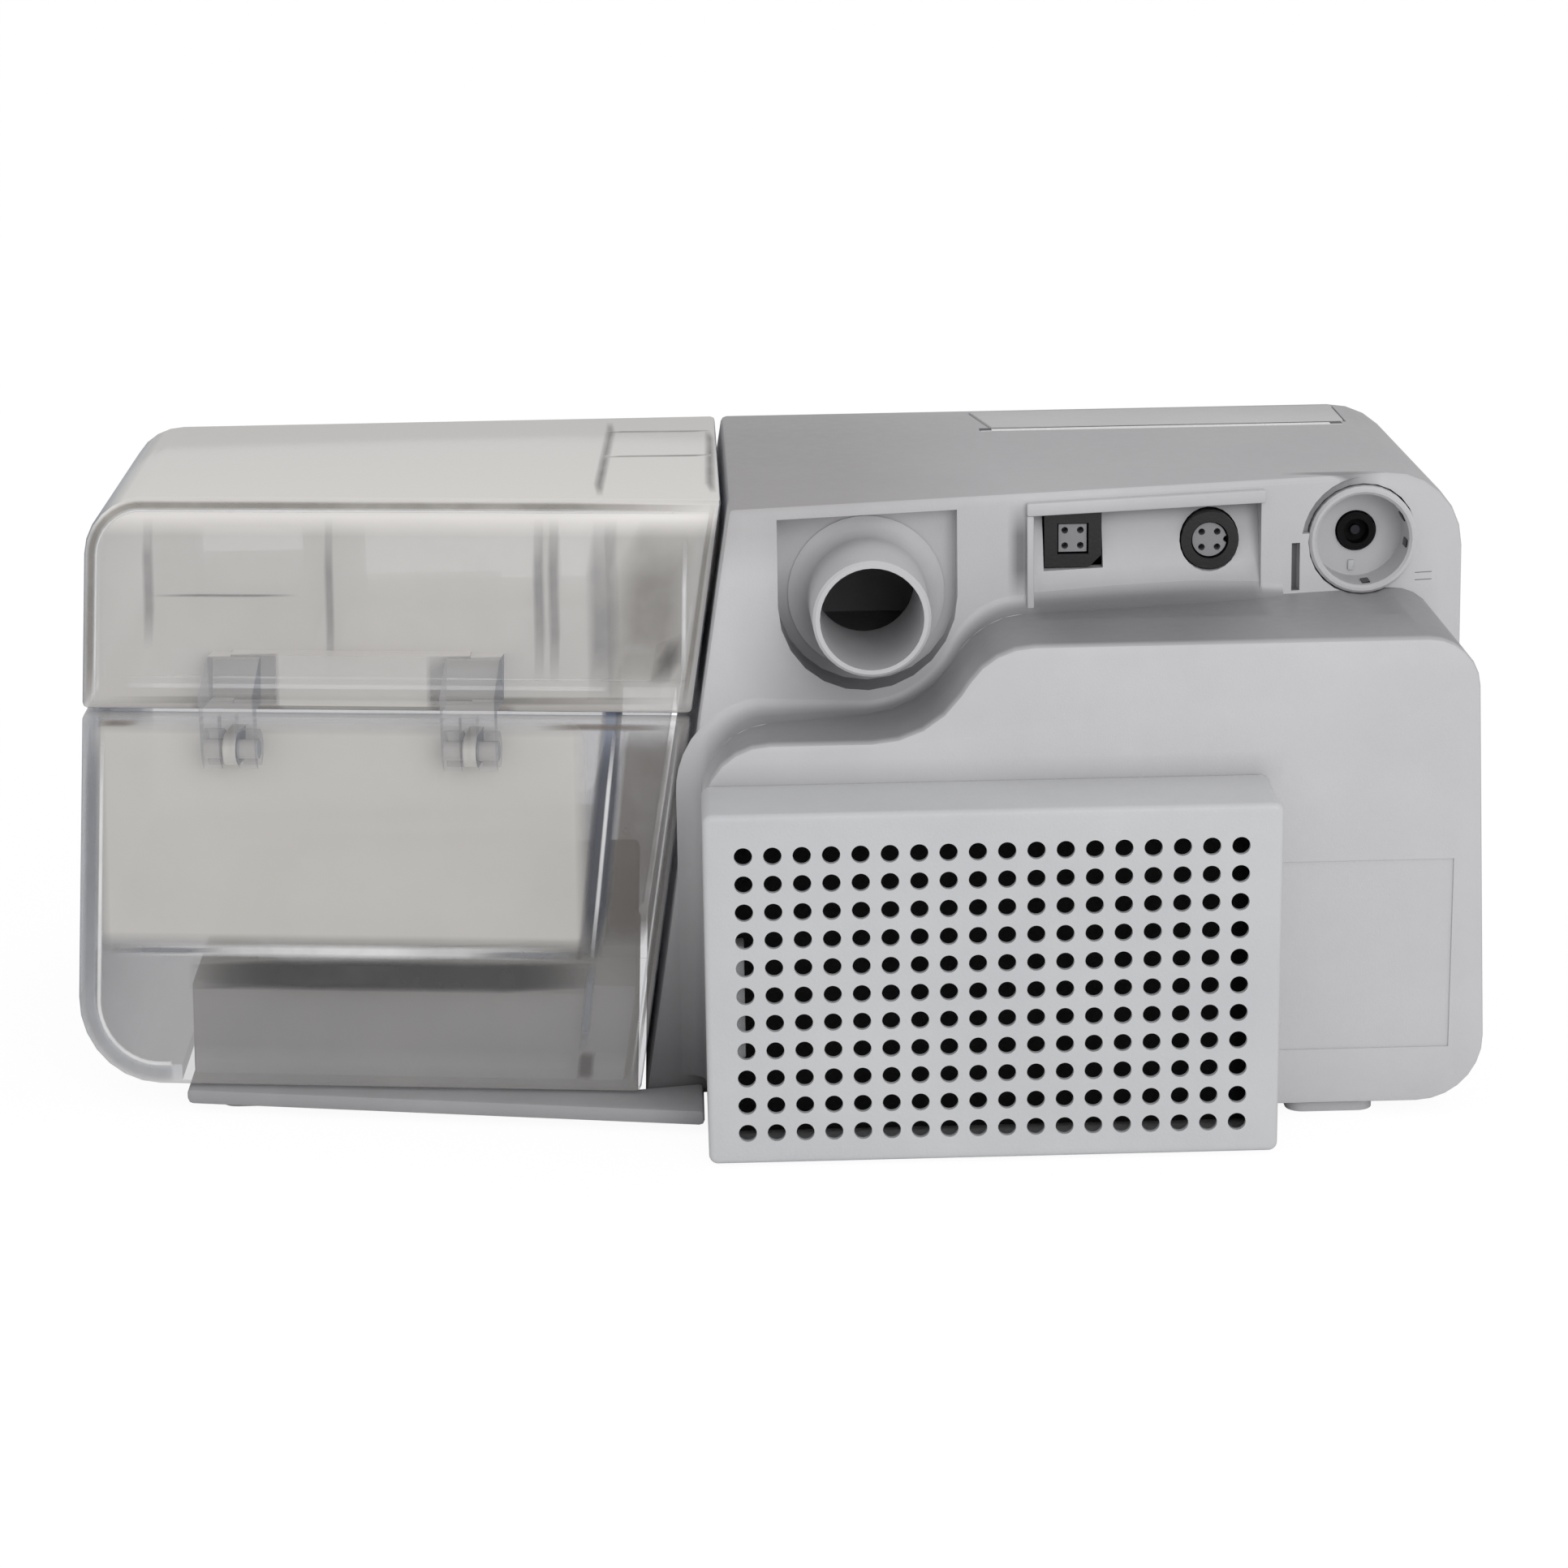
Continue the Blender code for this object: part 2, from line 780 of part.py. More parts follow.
def arch_corners():
    """The shallow arch over the inlet's left half; its floor meets the turned face at the top."""
    corners = [(JACK_X, JACK_Z + ARCH_RADIUS * math.sin(ARCH_FROM), 0)]
    for step in range(ARCH_STEPS + 1):
        turn = between(math.pi / 2, math.pi - ARCH_FROM, step / ARCH_STEPS)
        corners.append((JACK_X + ARCH_RADIUS * math.cos(turn), JACK_Z + ARCH_RADIUS * math.sin(turn), 0))
    return corners


def slot_corners():
    left = JACK_X - SLOT_LEFT_OUT
    low = BLOCK_HIGH + SLOT_LIFT
    return rectangle(left, low, left + SLOT_WIDE, low + SLOT_TALL)


def hood_corners():
    return rectangle(HOOD_LEFT, HOOD_BOTTOM, HOOD_RIGHT, HOOD_TOP)


def hood_floor(inset=0):
    """The floor of the connector pocket, flush with the face at its foot."""
    lean = REAR_LEAN + HOOD_DEEP / (HOOD_TOP - HOOD_BOTTOM)
    return leaning(REAR_Y + REAR_LEAN * HOOD_BOTTOM, REAR_TURN, lean, 1, inset, HOOD_BOTTOM)


def square_floor(y, inset=0):
    """A pocket floor square to Y."""
    return Vector((0, y - inset, 0)), Vector((0, 1, 0))


def pockets():
    """The recessed places of the rear face, each with its floor."""
    return [
        ("outlet_pocket", pocket_corners(), lambda inset=0: square_floor(POCKET_FLOOR_Y, inset)),
        ("socket_pocket", hood_corners(), hood_floor),
        ("jack_arch", arch_corners(), lambda inset=0: square_floor(ARCH_FLOOR_Y, inset)),
        ("jack_slot", slot_corners(), lambda inset=0: square_floor(SLOT_FLOOR_Y, inset)),
    ]


def socket_y(x, z):
    """Where the connector pocket's floor lies."""
    lean = REAR_LEAN + HOOD_DEEP / (HOOD_TOP - HOOD_BOTTOM)
    return REAR_Y + REAR_LEAN * HOOD_BOTTOM + REAR_TURN * x + lean * (z - HOOD_BOTTOM)


def bar_points(inset=0):
    """The start bar in plan, with its slanted left end."""
    corners = [
        (BAR_LEFT + BAR_SLANT, BAR_NEAR, 0), (BAR_RIGHT, BAR_NEAR, 0),
        (BAR_RIGHT, BAR_FAR, 0), (BAR_LEFT, BAR_FAR, 0),
    ]
    return outline(corners, inset)


def inlet_slots():
    """The air slots behind the filter, between upright bars."""
    left = COVER_LEFT + INLET_MARGIN
    right = COVER_LEFT + COVER_WIDE - INLET_MARGIN
    low = COVER_LOW + INLET_MARGIN
    high = COVER_HIGH - INLET_MARGIN
    step = (right - left + INLET_BAR) / (INLET_BARS + 1)
    slots = []
    for index in range(INLET_BARS + 1):
        start = left + step * index
        slots.append(box((start, BLOCK_Y - OVERRUN, low),
                         (start + step - INLET_BAR, BLOCK_Y + OVERRUN / 2, high)))
    return slots


def ports():
    """Places of the two air ports between the blower unit and the humidifier lid."""
    return [("supply", PORT_Y_SUPPLY), ("return", PORT_Y_RETURN)]


def port_rod(y, radius, start, end):
    """A rod square to the seam's wall at a port, between two distances from the seam."""
    out = Vector((-1, 0, (SEAM_TOP - SEAM_BASE) / CASE_TOP)).normalized()
    at = Vector((seam_x(PORT_Z), y, PORT_Z))
    return rod(at + out * start, at + out * end, radius)


def main_casing():
    casing = add_part("main_casing", slab(case_corners(), 0, rear_plane(), front_plane()), casing_grey())
    soften(casing, CASE_EDGE)
    block = slab(block_corners(), 0, (Vector((0, BLOCK_Y, 0)), Vector((0, -1, 0))), open_ended(OVERRUN))
    soften(join(casing, block, "block").object, CASE_EDGE)
    hollow = slab(case_corners(), CASE_WALL, rear_plane(CASE_WALL), open_ended(REACH))
    cut(casing, hollow, "hollow")
    near = (Vector((0, BLOCK_Y + CASE_WALL, 0)), Vector((0, -1, 0)))
    cut(casing, slab(block_corners(), CASE_WALL, near, open_ended(OVERRUN)), "block_hollow")
    window = rectangle(WINDOW_LEFT, WINDOW_NEAR, WINDOW_RIGHT, WINDOW_FAR, WINDOW_CORNER)
    cut(casing, prism(outline(window), -OVERRUN, CASE_BOTTOM + OVERRUN / 2, "Z"), "window")
    for index, slot in enumerate(inlet_slots()):
        cut(casing, slot, f"inlet_slot_{index + 1}")
    for name, corners, floor in pockets():
        lump = slab(corners, -CASE_WALL, rear_plane(CASE_WALL / 2), floor(-CASE_WALL))
        lump = trim(lump, (0, 0, CASE_TOP - CASE_WALL / 2), UP)
        join(casing, lump, name + "_wall")
    for name, corners, floor in pockets():
        cut(casing, slab(corners, 0, open_ended(-REACH), floor()), name)
    cut(casing, outlet_hole(), "outlet_hole")
    cut(casing, jack_hole(), "jack_hole")
    cut(casing, socket_holes(), "socket_holes")
    label = box((LABEL_RIGHT - LABEL_WIDE, BLOCK_Y - OVERRUN, LABEL_LOW),
                (LABEL_RIGHT, BLOCK_Y + LABEL_DEEP, LABEL_HIGH))
    cut(casing, label, "label_recess")
    slot = prism(bar_points(-BAR_GAP), CASE_TOP - OVERRUN / 2, CASE_TOP + OVERRUN, "Z")
    cut(casing, slot, "bar_slot")
    for name, y in ports():
        cut(casing, port_rod(y, PORT_RADIUS + CLEAR, -OVERRUN / 2, OVERRUN / 2), name + "_port")
    for index, x in enumerate(bar_post_places()):
        post = rod((x, BAR_BOARD_NEAR + BAR_POST_INSET, bar_board_z() + CLEAR),
                   (x, BAR_BOARD_NEAR + BAR_POST_INSET, CASE_TOP - CASE_WALL / 2), BOARD_POST, sides=12)
        join(casing, post, f"bar_post_{index + 1}")
    return casing


def outlet_hole():
    return rod((OUTLET_X, POCKET_FLOOR_Y - OVERRUN, OUTLET_Z),
               (OUTLET_X, POCKET_FLOOR_Y + CASE_WALL + CLEAR, OUTLET_Z), OUTLET_OUTER + CLEAR)


def jack_hole():
    return rod((JACK_X, JACK_MOUTH_Y - OVERRUN, JACK_Z),
               (JACK_X, JACK_MOUTH_Y + OVERRUN, JACK_Z), JACK_RADIUS + CLEAR)


def socket_holes():
    half = SQUARE_WIDE / 2 + CLEAR
    y = socket_y(SQUARE_X, SQUARE_Z)
    square = box((SQUARE_X - half, y - OVERRUN, SQUARE_Z - half),
                 (SQUARE_X + half, y + OVERRUN / 2, SQUARE_Z + half))
    y = socket_y(ROUND_X, ROUND_Z)
    well = rod((ROUND_X, y - OVERRUN, ROUND_Z), (ROUND_X, y + OVERRUN / 2, ROUND_Z),
               ROUND_RADIUS + CLEAR)
    return merge([square, well])



def turned(profile, base, direction, sides=32):
    """A solid turned from a profile of radius and height, standing at a base along a direction."""
    work = bmesh.new()
    corners = [work.verts.new((radius, 0, height)) for radius, height in profile]
    edges = [work.edges.new((a, b)) for a, b in zip(corners, corners[1:])]
    if profile[0][0] > 0:
        edges.append(work.edges.new((corners[-1], corners[0])))
    bmesh.ops.spin(
        work, geom=corners + edges, cent=(0, 0, 0), axis=UP, dvec=(0, 0, 0),
        angle=math.tau, steps=sides, use_merge=True,
    )
    bmesh.ops.remove_doubles(work, verts=work.verts, dist=WELD)
    turn = UP.rotation_difference(Vector(direction)).to_matrix().to_4x4()
    bmesh.ops.transform(work, matrix=Matrix.Translation(base) @ turn, verts=work.verts)
    return meshed(work)


def arc(centre, radius, start, end, steps):
    """Points of an arc, by its angles in degrees."""
    turns = [math.radians(start + (end - start) * step / steps) for step in range(steps + 1)]
    return [(centre[0] + radius * math.cos(turn), centre[1] + radius * math.sin(turn)) for turn in turns]


# Filter cover and filter

def filter_cover():
    front = BLOCK_Y - COVER_DEEP
    right = COVER_LEFT + COVER_WIDE
    shell = box((COVER_LEFT, front, COVER_LOW), (right, BLOCK_Y - CLEAR, COVER_HIGH))
    cover = add_part("filter_cover", shell, casing_grey(), (COVER_LEFT + COVER_WIDE / 2, BLOCK_Y, COVER_LOW))
    soften(cover, COVER_EDGE)
    inner = box((COVER_LEFT + COVER_WALL, front + COVER_WALL, COVER_LOW + COVER_WALL),
                (right - COVER_WALL, BLOCK_Y + OVERRUN, COVER_HIGH - COVER_WALL))
    cut(cover, inner, "inside")
    hole = cut(cover, rod((HOLE_LEFT, front - OVERRUN / 2, HOLE_HIGH),
                          (HOLE_LEFT, front + COVER_WALL + CLEAR, HOLE_HIGH),
                          HOLE_RADIUS, sides=HOLE_SIDES), "holes").object
    for count, offset in ((HOLE_COLUMNS, (HOLE_PITCH, 0, 0)), (HOLE_ROWS, (0, 0, -HOLE_PITCH))):
        row = hole.modifiers.new("row", "ARRAY")
        row.count = count
        row.use_relative_offset = False
        row.use_constant_offset = True
        row.constant_offset_displace = offset
    clip = box((COVER_LEFT + COVER_WALL / 2, front + COVER_WALL + COVER_CLIP_IN, COVER_CLIP_LOW),
               (COVER_LEFT + COVER_WALL + COVER_CLIP_WIDE, pad_front() - CLEAR, COVER_CLIP_HIGH))
    join(cover, clip, "clip")


def pad_front():
    return BLOCK_Y - CLEAR - PAD_THICK


def filter_pad():
    edge = COVER_WALL + PAD_EDGE_GAP
    pad = box((COVER_LEFT + edge, pad_front(), COVER_LOW + edge),
              (COVER_LEFT + COVER_WIDE - edge, BLOCK_Y - CLEAR, COVER_HIGH - edge))
    add_part("filter_pad", pad, foam())


# Air outlet

def outlet_pipe():
    inner = POCKET_FLOOR_Y + CASE_WALL + OUTLET_SPIGOT
    seat = inner - POCKET_FLOOR_Y + CLEAR
    mouth = inner - OUTLET_MOUTH_Y
    root = (OUTLET_OUTER + OUTLET_FILLET, seat + OUTLET_FILLET)
    profile = [(OUTLET_BORE, 0), (OUTLET_OUTER, 0), (OUTLET_OUTER, seat)]
    profile += arc(root, OUTLET_FILLET, 270, 180, 5)
    profile += [
        (OUTLET_OUTER - OUTLET_TAPER, mouth - OUTLET_LIP),
        (OUTLET_OUTER - OUTLET_TAPER - OUTLET_LIP, mouth), (OUTLET_BORE, mouth),
    ]
    mesh = turned(profile, (OUTLET_X, inner, OUTLET_Z), (0, -1, 0), 40)
    add_part("outlet_pipe", smooth(mesh), casing_grey())


# Sockets

def pin_places(x, z):
    half = PIN_PITCH / 2
    return [(x + side * half, z + rise * half) for side in (-1, 1) for rise in (-1, 1)]


def pin_holes(target, x, z, y):
    for index, (pin_x, pin_z) in enumerate(pin_places(x, z)):
        hole = rod((pin_x, y - OVERRUN / 2, pin_z), (pin_x, y + PIN_DEEP, pin_z), PIN_HOLE, sides=10)
        cut(target, hole, f"pin_{index + 1}")


def square_socket():
    front = socket_y(SQUARE_X, SQUARE_Z) - SOCKET_OUT
    half = SQUARE_WIDE / 2
    corners = rectangle(SQUARE_X - half, SQUARE_Z - half, SQUARE_X + half, SQUARE_Z + half)
    corners[1:2] = [
        (SQUARE_X + half - SQUARE_CHAMFER, SQUARE_Z - half, 0),
        (SQUARE_X + half, SQUARE_Z - half + SQUARE_CHAMFER, 0),
    ]
    shell = prism(outline(corners), front, front + SOCKET_BODY)
    socket = add_part("square_socket", shell, black_plastic())
    room = half - SQUARE_WALL
    well = box((SQUARE_X - room, front - OVERRUN, SQUARE_Z - room),
               (SQUARE_X + room, front + SOCKET_BODY - SQUARE_WALL, SQUARE_Z + room))
    cut(socket, well, "well")
    room -= CLEAR
    core = box((SQUARE_X - room, front + INSERT_BACK, SQUARE_Z - room),
               (SQUARE_X + room, front + SOCKET_BODY - SQUARE_WALL - CLEAR, SQUARE_Z + room))
    insert = add_part("square_socket_insert", core, socket_grey())
    pin_holes(insert, SQUARE_X, SQUARE_Z, front + INSERT_BACK)


def round_socket():
    front = socket_y(ROUND_X, ROUND_Z) - SOCKET_OUT
    shell = rod((ROUND_X, front, ROUND_Z), (ROUND_X, front + SOCKET_BODY, ROUND_Z), ROUND_RADIUS, sides=32)
    socket = add_part("round_socket", smooth(shell), black_plastic())
    room = ROUND_RADIUS - ROUND_WALL
    well = rod((ROUND_X, front - OVERRUN, ROUND_Z),
               (ROUND_X, front + SOCKET_BODY - ROUND_WALL, ROUND_Z), room, sides=32)
    cut(socket, well, "well")
    room -= CLEAR
    core = rod((ROUND_X, front + INSERT_BACK, ROUND_Z),
               (ROUND_X, front + SOCKET_BODY - ROUND_WALL - CLEAR, ROUND_Z), room, sides=32)
    insert = add_part("round_socket_insert", smooth(core), socket_grey())
    pin_holes(insert, ROUND_X, ROUND_Z, front + INSERT_BACK)
    key = rod((ROUND_X + room, front - OVERRUN / 2, ROUND_Z), (ROUND_X + room, front + PIN_DEEP, ROUND_Z),
              PIN_HOLE, sides=10)
    cut(insert, key, "key")


# Power inlet

def power_inlet():
    back = JACK_MOUTH_Y + JACK_DEEP + JACK_FLOOR
    room = JACK_RADIUS - JACK_WALL
    high = back - JACK_MOUTH_Y
    edge = JACK_WALL / 3
    profile = [
        (0, 0), (JACK_RADIUS, 0), (JACK_RADIUS, high - edge), (JACK_RADIUS - edge, high),
        (room + edge, high), (room, high - edge), (room, JACK_FLOOR),
        (JACK_CORE_RADIUS + CLEAR, JACK_FLOOR), (JACK_CORE_RADIUS + CLEAR, JACK_SEAT), (0, JACK_SEAT),
    ]
    ring = turned(profile, (JACK_X, back, JACK_Z), (0, -1, 0), 36)
    add_part("power_inlet_ring", smooth(ring), casing_grey())
    foot = JACK_SEAT + CLEAR
    top = foot + JACK_CORE_LONG
    profile = [
        (0, foot), (JACK_CORE_RADIUS, foot), (JACK_CORE_RADIUS, top),
        (JACK_PIN_BORE, top), (JACK_PIN_BORE, foot + JACK_WALL), (0, foot + JACK_WALL),
    ]
    core = turned(profile, (JACK_X, back, JACK_Z), (0, -1, 0), 28)
    add_part("power_inlet_core", smooth(core), black_plastic())
    start = back - foot - JACK_WALL - CLEAR
    pin = rod((JACK_X, start, JACK_Z), (JACK_X, back - top + JACK_WALL, JACK_Z), JACK_PIN_RADIUS, sides=12)
    add_part("power_inlet_pin", smooth(pin), steel())


# Start bar and its switch board

def bar_top():
    return CASE_TOP + BAR_PROUD


def bar_board_z():
    """Upper face of the board under the start bar."""
    return bar_top() - BAR_THICK - BAR_STEM_LONG - BAR_TRAVEL - CLEAR


def bar_stem_places():
    return (BAR_LEFT + BAR_STEM_INSET, BAR_RIGHT - BAR_STEM_INSET)


def bar_post_places():
    return (BAR_BOARD_LEFT + BAR_POST_INSET, BAR_BOARD_RIGHT - BAR_POST_INSET)


def start_bar():
    middle = ((BAR_LEFT + BAR_RIGHT) / 2, (BAR_NEAR + BAR_FAR) / 2, bar_top())
    mesh = prism(bar_points(), bar_top() - BAR_THICK, bar_top(), "Z")
    bar = add_part("start_bar", mesh, casing_grey(), middle)
    soften(bar, BAR_EDGE)
    for index, x in enumerate(bar_stem_places()):
        stem = rod((x, middle[1], bar_top() - BAR_THICK - BAR_STEM_LONG),
                   (x, middle[1], bar_top() - BAR_THICK / 2), BAR_STEM, sides=12)
        join(bar, stem, f"stem_{index + 1}")
    board = box((BAR_BOARD_LEFT, BAR_BOARD_NEAR, bar_board_z() - BOARD_THICK),
                (BAR_BOARD_RIGHT, BAR_FAR, bar_board_z()))
    add_part("bar_switch_board", board, board_green())


# Front panel, display, knob and keys

def front_out():
    return Vector((0, 1, -FRONT_LEAN)).normalized()


def front_point(x, z, depth=0):
    """A point behind the front face, measured square to it."""
    return Vector((x, front_y(z), z)) - front_out() * depth


def front_slab(corners, inset, outer, inner):
    """An outline let into the front, between two depths behind its face."""
    point, normal = front_plane(inner)
    return slab(corners, inset, (point, -normal), front_plane(outer))


def display_corners():
    return rectangle(DISPLAY_LEFT, DISPLAY_LOW, DISPLAY_RIGHT, DISPLAY_HIGH, DISPLAY_CORNER)


def front_rod(x, z, outer, inner, radius, sides=24):
    return rod(front_point(x, z, outer), front_point(x, z, inner), radius, sides=sides)


def front_panel():
    mesh = front_slab(case_corners(), CASE_WALL + CLEAR, 0, FRONT_THICK)
    panel = add_part("front_panel", mesh, casing_grey())
    cut(panel, slab(display_corners(), 0, open_ended(-REACH), open_ended(REACH)), "display_window")
    cut(panel, front_rod(KNOB_X, KNOB_Z, -OVERRUN, OVERRUN, KNOB_SHAFT + CLEAR), "knob_hole")
    for index, z in enumerate(KEY_PLACES):
        cut(panel, front_rod(KEY_X, z, -OVERRUN, OVERRUN, KEY_RADIUS + KEY_GAP), f"key_hole_{index + 1}")
    for index, (x, z) in enumerate(front_post_places()):
        post = front_rod(x, z, FRONT_THICK / 2, FRONT_BOARD_BACK - CLEAR, BOARD_POST, 12)
        join(panel, post, f"post_{index + 1}")


def front_post_places():
    left = FRONT_BOARD_LEFT + BOARD_POST_INSET
    right = FRONT_BOARD_RIGHT - BOARD_POST_INSET
    low = FRONT_BOARD_LOW + BOARD_POST_INSET
    high = FRONT_BOARD_HIGH - BOARD_POST_INSET
    return [(left, low), (right, low), (left, high), (right, high)]


def display():
    lens = front_slab(display_corners(), CLEAR, LENS_SEAT, LENS_SEAT + LENS_THICK)
    add_part("display_lens", lens, glass_black())
    start = LENS_SEAT + LENS_THICK + LCD_GAP
    screen = front_slab(display_corners(), LCD_MARGIN, start, FRONT_BOARD_BACK - CLEAR)
    add_part("lcd_panel", screen, material("lcd_panel", (0.05, 0.12, 0.22), 0.3))
    corners = rectangle(FRONT_BOARD_LEFT, FRONT_BOARD_LOW, FRONT_BOARD_RIGHT, FRONT_BOARD_HIGH)
    board = front_slab(corners, 0, FRONT_BOARD_BACK, FRONT_BOARD_BACK + BOARD_THICK)
    add_part("front_board", board, board_green())


def control_knob():
    foot = FRONT_BOARD_BACK - ENCODER_DEEP - CLEAR
    base = front_point(KNOB_X, KNOB_Z, foot)
    under = foot + KNOB_SINK
    top = foot + KNOB_OUT
    profile = [
        (0, 0), (KNOB_SHAFT, 0), (KNOB_SHAFT, under), (KNOB_RADIUS, under),
        (KNOB_RADIUS, top - KNOB_EDGE), (KNOB_RADIUS - KNOB_EDGE, top), (0, top),
    ]
    knob = turned(profile, base, front_out(), 36)
    add_part("control_knob", smooth(knob), casing_grey(), front_point(KNOB_X, KNOB_Z))
    half = ENCODER_WIDE / 2
    corners = rectangle(KNOB_X - half, KNOB_Z - half, KNOB_X + half, KNOB_Z + half)
    body = front_slab(corners, 0, FRONT_BOARD_BACK - ENCODER_DEEP, FRONT_BOARD_BACK - CLEAR)
    add_part("knob_encoder", body, steel())


def key(name, z):
    switch = FRONT_BOARD_BACK - CLEAR - KEY_SWITCH_HIGH
    foot = switch - KEY_TRAVEL - CLEAR
    flange = foot - FRONT_THICK - CLEAR
    profile = [
        (0, 0), (KEY_STEM, 0), (KEY_STEM, flange - KEY_FLANGE_THICK),
        (KEY_FLANGE, flange - KEY_FLANGE_THICK), (KEY_FLANGE, flange), (KEY_RADIUS, flange),
        (KEY_RADIUS, foot + KEY_OUT - KEY_GAP), (KEY_RADIUS - KEY_GAP, foot + KEY_OUT), (0, foot + KEY_OUT),
    ]
    mesh = turned(profile, front_point(KEY_X, z, foot), front_out(), 28)
    add_part(name, smooth(mesh), casing_grey(), front_point(KEY_X, z))
    half = KEY_SWITCH / 2
    corners = rectangle(KEY_X - half, z - half, KEY_X + half, z + half)
    body = front_slab(corners, 0, switch, FRONT_BOARD_BACK - CLEAR)
    add_part(name + "_switch", body, black_plastic())



# Humidifier base and heater

def tray():
    """The tray, with a tongue at its right that reaches along the casing's lower corner to the block."""
    seam = seam_x(BASE_LOW) - SEAM_GAP
    end = BLOCK_LEFT - TONGUE_GAP
    plan = [
        (BASE_LEFT, -FAR), (end, -FAR), (end, rear_y(end, BASE_LOW) - TONGUE_GAP),
        (seam, rear_y(seam, BASE_LOW) - TONGUE_GAP), (seam, FAR), (BASE_LEFT, FAR),
    ]
    mesh = prism(plan, BASE_LOW, BASE_HIGH, "Z")
    mesh = trim(mesh, *leaning(BASE_REAR_Y, BASE_REAR_TURN, 0, -1))
    return trim(mesh, *front_plane(BASE_FRONT_IN))


def housing_corners(low):
    return [
        (HOUSING_LEFT, low, 0), (seam_x(low) - HOUSING_RIGHT_GAP, low, 0),
        (seam_x(HOUSING_TOP) - HOUSING_RIGHT_GAP, HOUSING_TOP, 0), (HOUSING_LEFT, HOUSING_TOP, 0),
    ]


def housing_slab(low, inset):
    return slab(housing_corners(low), inset, hum_rear_plane(HOUSING_REAR_IN + inset),
                front_plane(HOUSING_FRONT_IN + inset))


def heater_rectangle(inset=0):
    half_x, half_y = HEATER_WIDE / 2, HEATER_DEEP / 2
    corners = rectangle(HEATER_X - half_x, HEATER_Y - half_y, HEATER_X + half_x, HEATER_Y + half_y,
                        HEATER_CORNER)
    return outline(corners, inset)


def humidifier_base():
    base = add_part("humidifier_base", tray(), base_grey())
    soften(base, CASE_EDGE)
    housing = housing_slab(BASE_HIGH - CASE_EDGE, 0)
    soften(join(base, housing, "housing").object, HOUSING_EDGE)
    cut(base, housing_slab(BASE_LOW - OVERRUN, HOUSING_WALL), "hollow")
    window = prism(heater_rectangle(FILM_INSET), BASE_HIGH + OVERRUN / 2, HOUSING_TOP + OVERRUN, "Z")
    cut(base, window, "heater_window")
    lid = housing_slab(BASE_LOW, HOUSING_WALL + CLEAR)
    lid = trim(lid, (0, 0, BASE_LOW + HOUSING_WALL + COVER_THICK), UP)
    add_part("heater_cover", lid, base_grey())


def heater_low():
    return HOUSING_TOP + CLEAR


def heater_high():
    return heater_low() + HEATER_THICK


def heater():
    plate = prism(heater_rectangle(), heater_low(), heater_high(), "Z")
    add_part("heater_plate", plate, aluminium())
    film = prism(heater_rectangle(FILM_INSET + CLEAR), HOUSING_TOP - FILM_THICK, HOUSING_TOP, "Z")
    add_part("heater_film", film, copper_film())


# Water tank

def partition_x(z):
    return between(PARTITION_BASE, PARTITION_TOP, (z - TUB_FLOOR) / (SPLIT_Z - TUB_FLOOR))


def floor_top():
    return TUB_FLOOR + TUB_FLOOR_THICK


def hum_between(corners, inset=0, walls_in=0):
    """An outline drawn between the humidifier's leaning rear and front walls, or further in."""
    return slab(corners, inset, hum_rear_plane(walls_in), front_plane(walls_in))


def water_room():
    """The space that holds water, open at the top."""
    high = SPLIT_Z + OVERRUN
    return [
        (hum_left(floor_top()) + HUM_WALL, floor_top(), HUM_WALL),
        (partition_x(floor_top()), floor_top(), HUM_WALL),
        (partition_x(high), high, 0), (hum_left(high) + HUM_WALL, high, 0),
    ]


def skirt_room():
    """The space under the tank's floor, open below and towards the main unit."""
    low = HUM_BOTTOM - OVERRUN
    shelf = HUM_BOTTOM + HUM_WALL
    edge = BASE_LEFT - SEAM_GAP
    return [
        (edge, low, 0), (0, low, 0), (0, TUB_FLOOR, 0),
        (hum_left(TUB_FLOOR) + HUM_WALL, TUB_FLOOR, 0),
        (hum_left(shelf) + HUM_WALL, shelf, HUM_BASE_CORNER - HUM_WALL), (edge, shelf, 0),
    ]


def side_room():
    """The gap between the partition and the main unit."""
    low = TUB_FLOOR - CLEAR
    high = SPLIT_Z + OVERRUN
    return [
        (partition_x(low) + PARTITION_WALL, low, 0), (0, low, 0), (0, high, 0),
        (partition_x(high) + PARTITION_WALL, high, 0),
    ]


def hinge_frame(x):
    """A frame on the lid's hinge pin, its X along the pin and its Y square to the wall."""
    turn = Matrix.Rotation(math.atan(HUM_REAR_TURN), 4, "Z")
    out = HINGE_OFF * math.hypot(1, HUM_REAR_TURN)
    return Matrix.Translation((x, hum_rear_y(x, HINGE_Z) - out, HINGE_Z)) @ turn


def moved(mesh, frame):
    mesh.transform(frame)
    return mesh


def ear_outline():
    """Side view of an ear: round at the pin, straight to the middle of the tank's wall."""
    root = HINGE_OFF + HUM_WALL / 2
    points = [(EAR_RADIUS * math.cos(turn), EAR_RADIUS * math.sin(turn))
              for turn in hook_turns(math.pi / 2, math.pi * 3 / 2)]
    return points + [(root, -EAR_RADIUS), (root, EAR_RADIUS)]


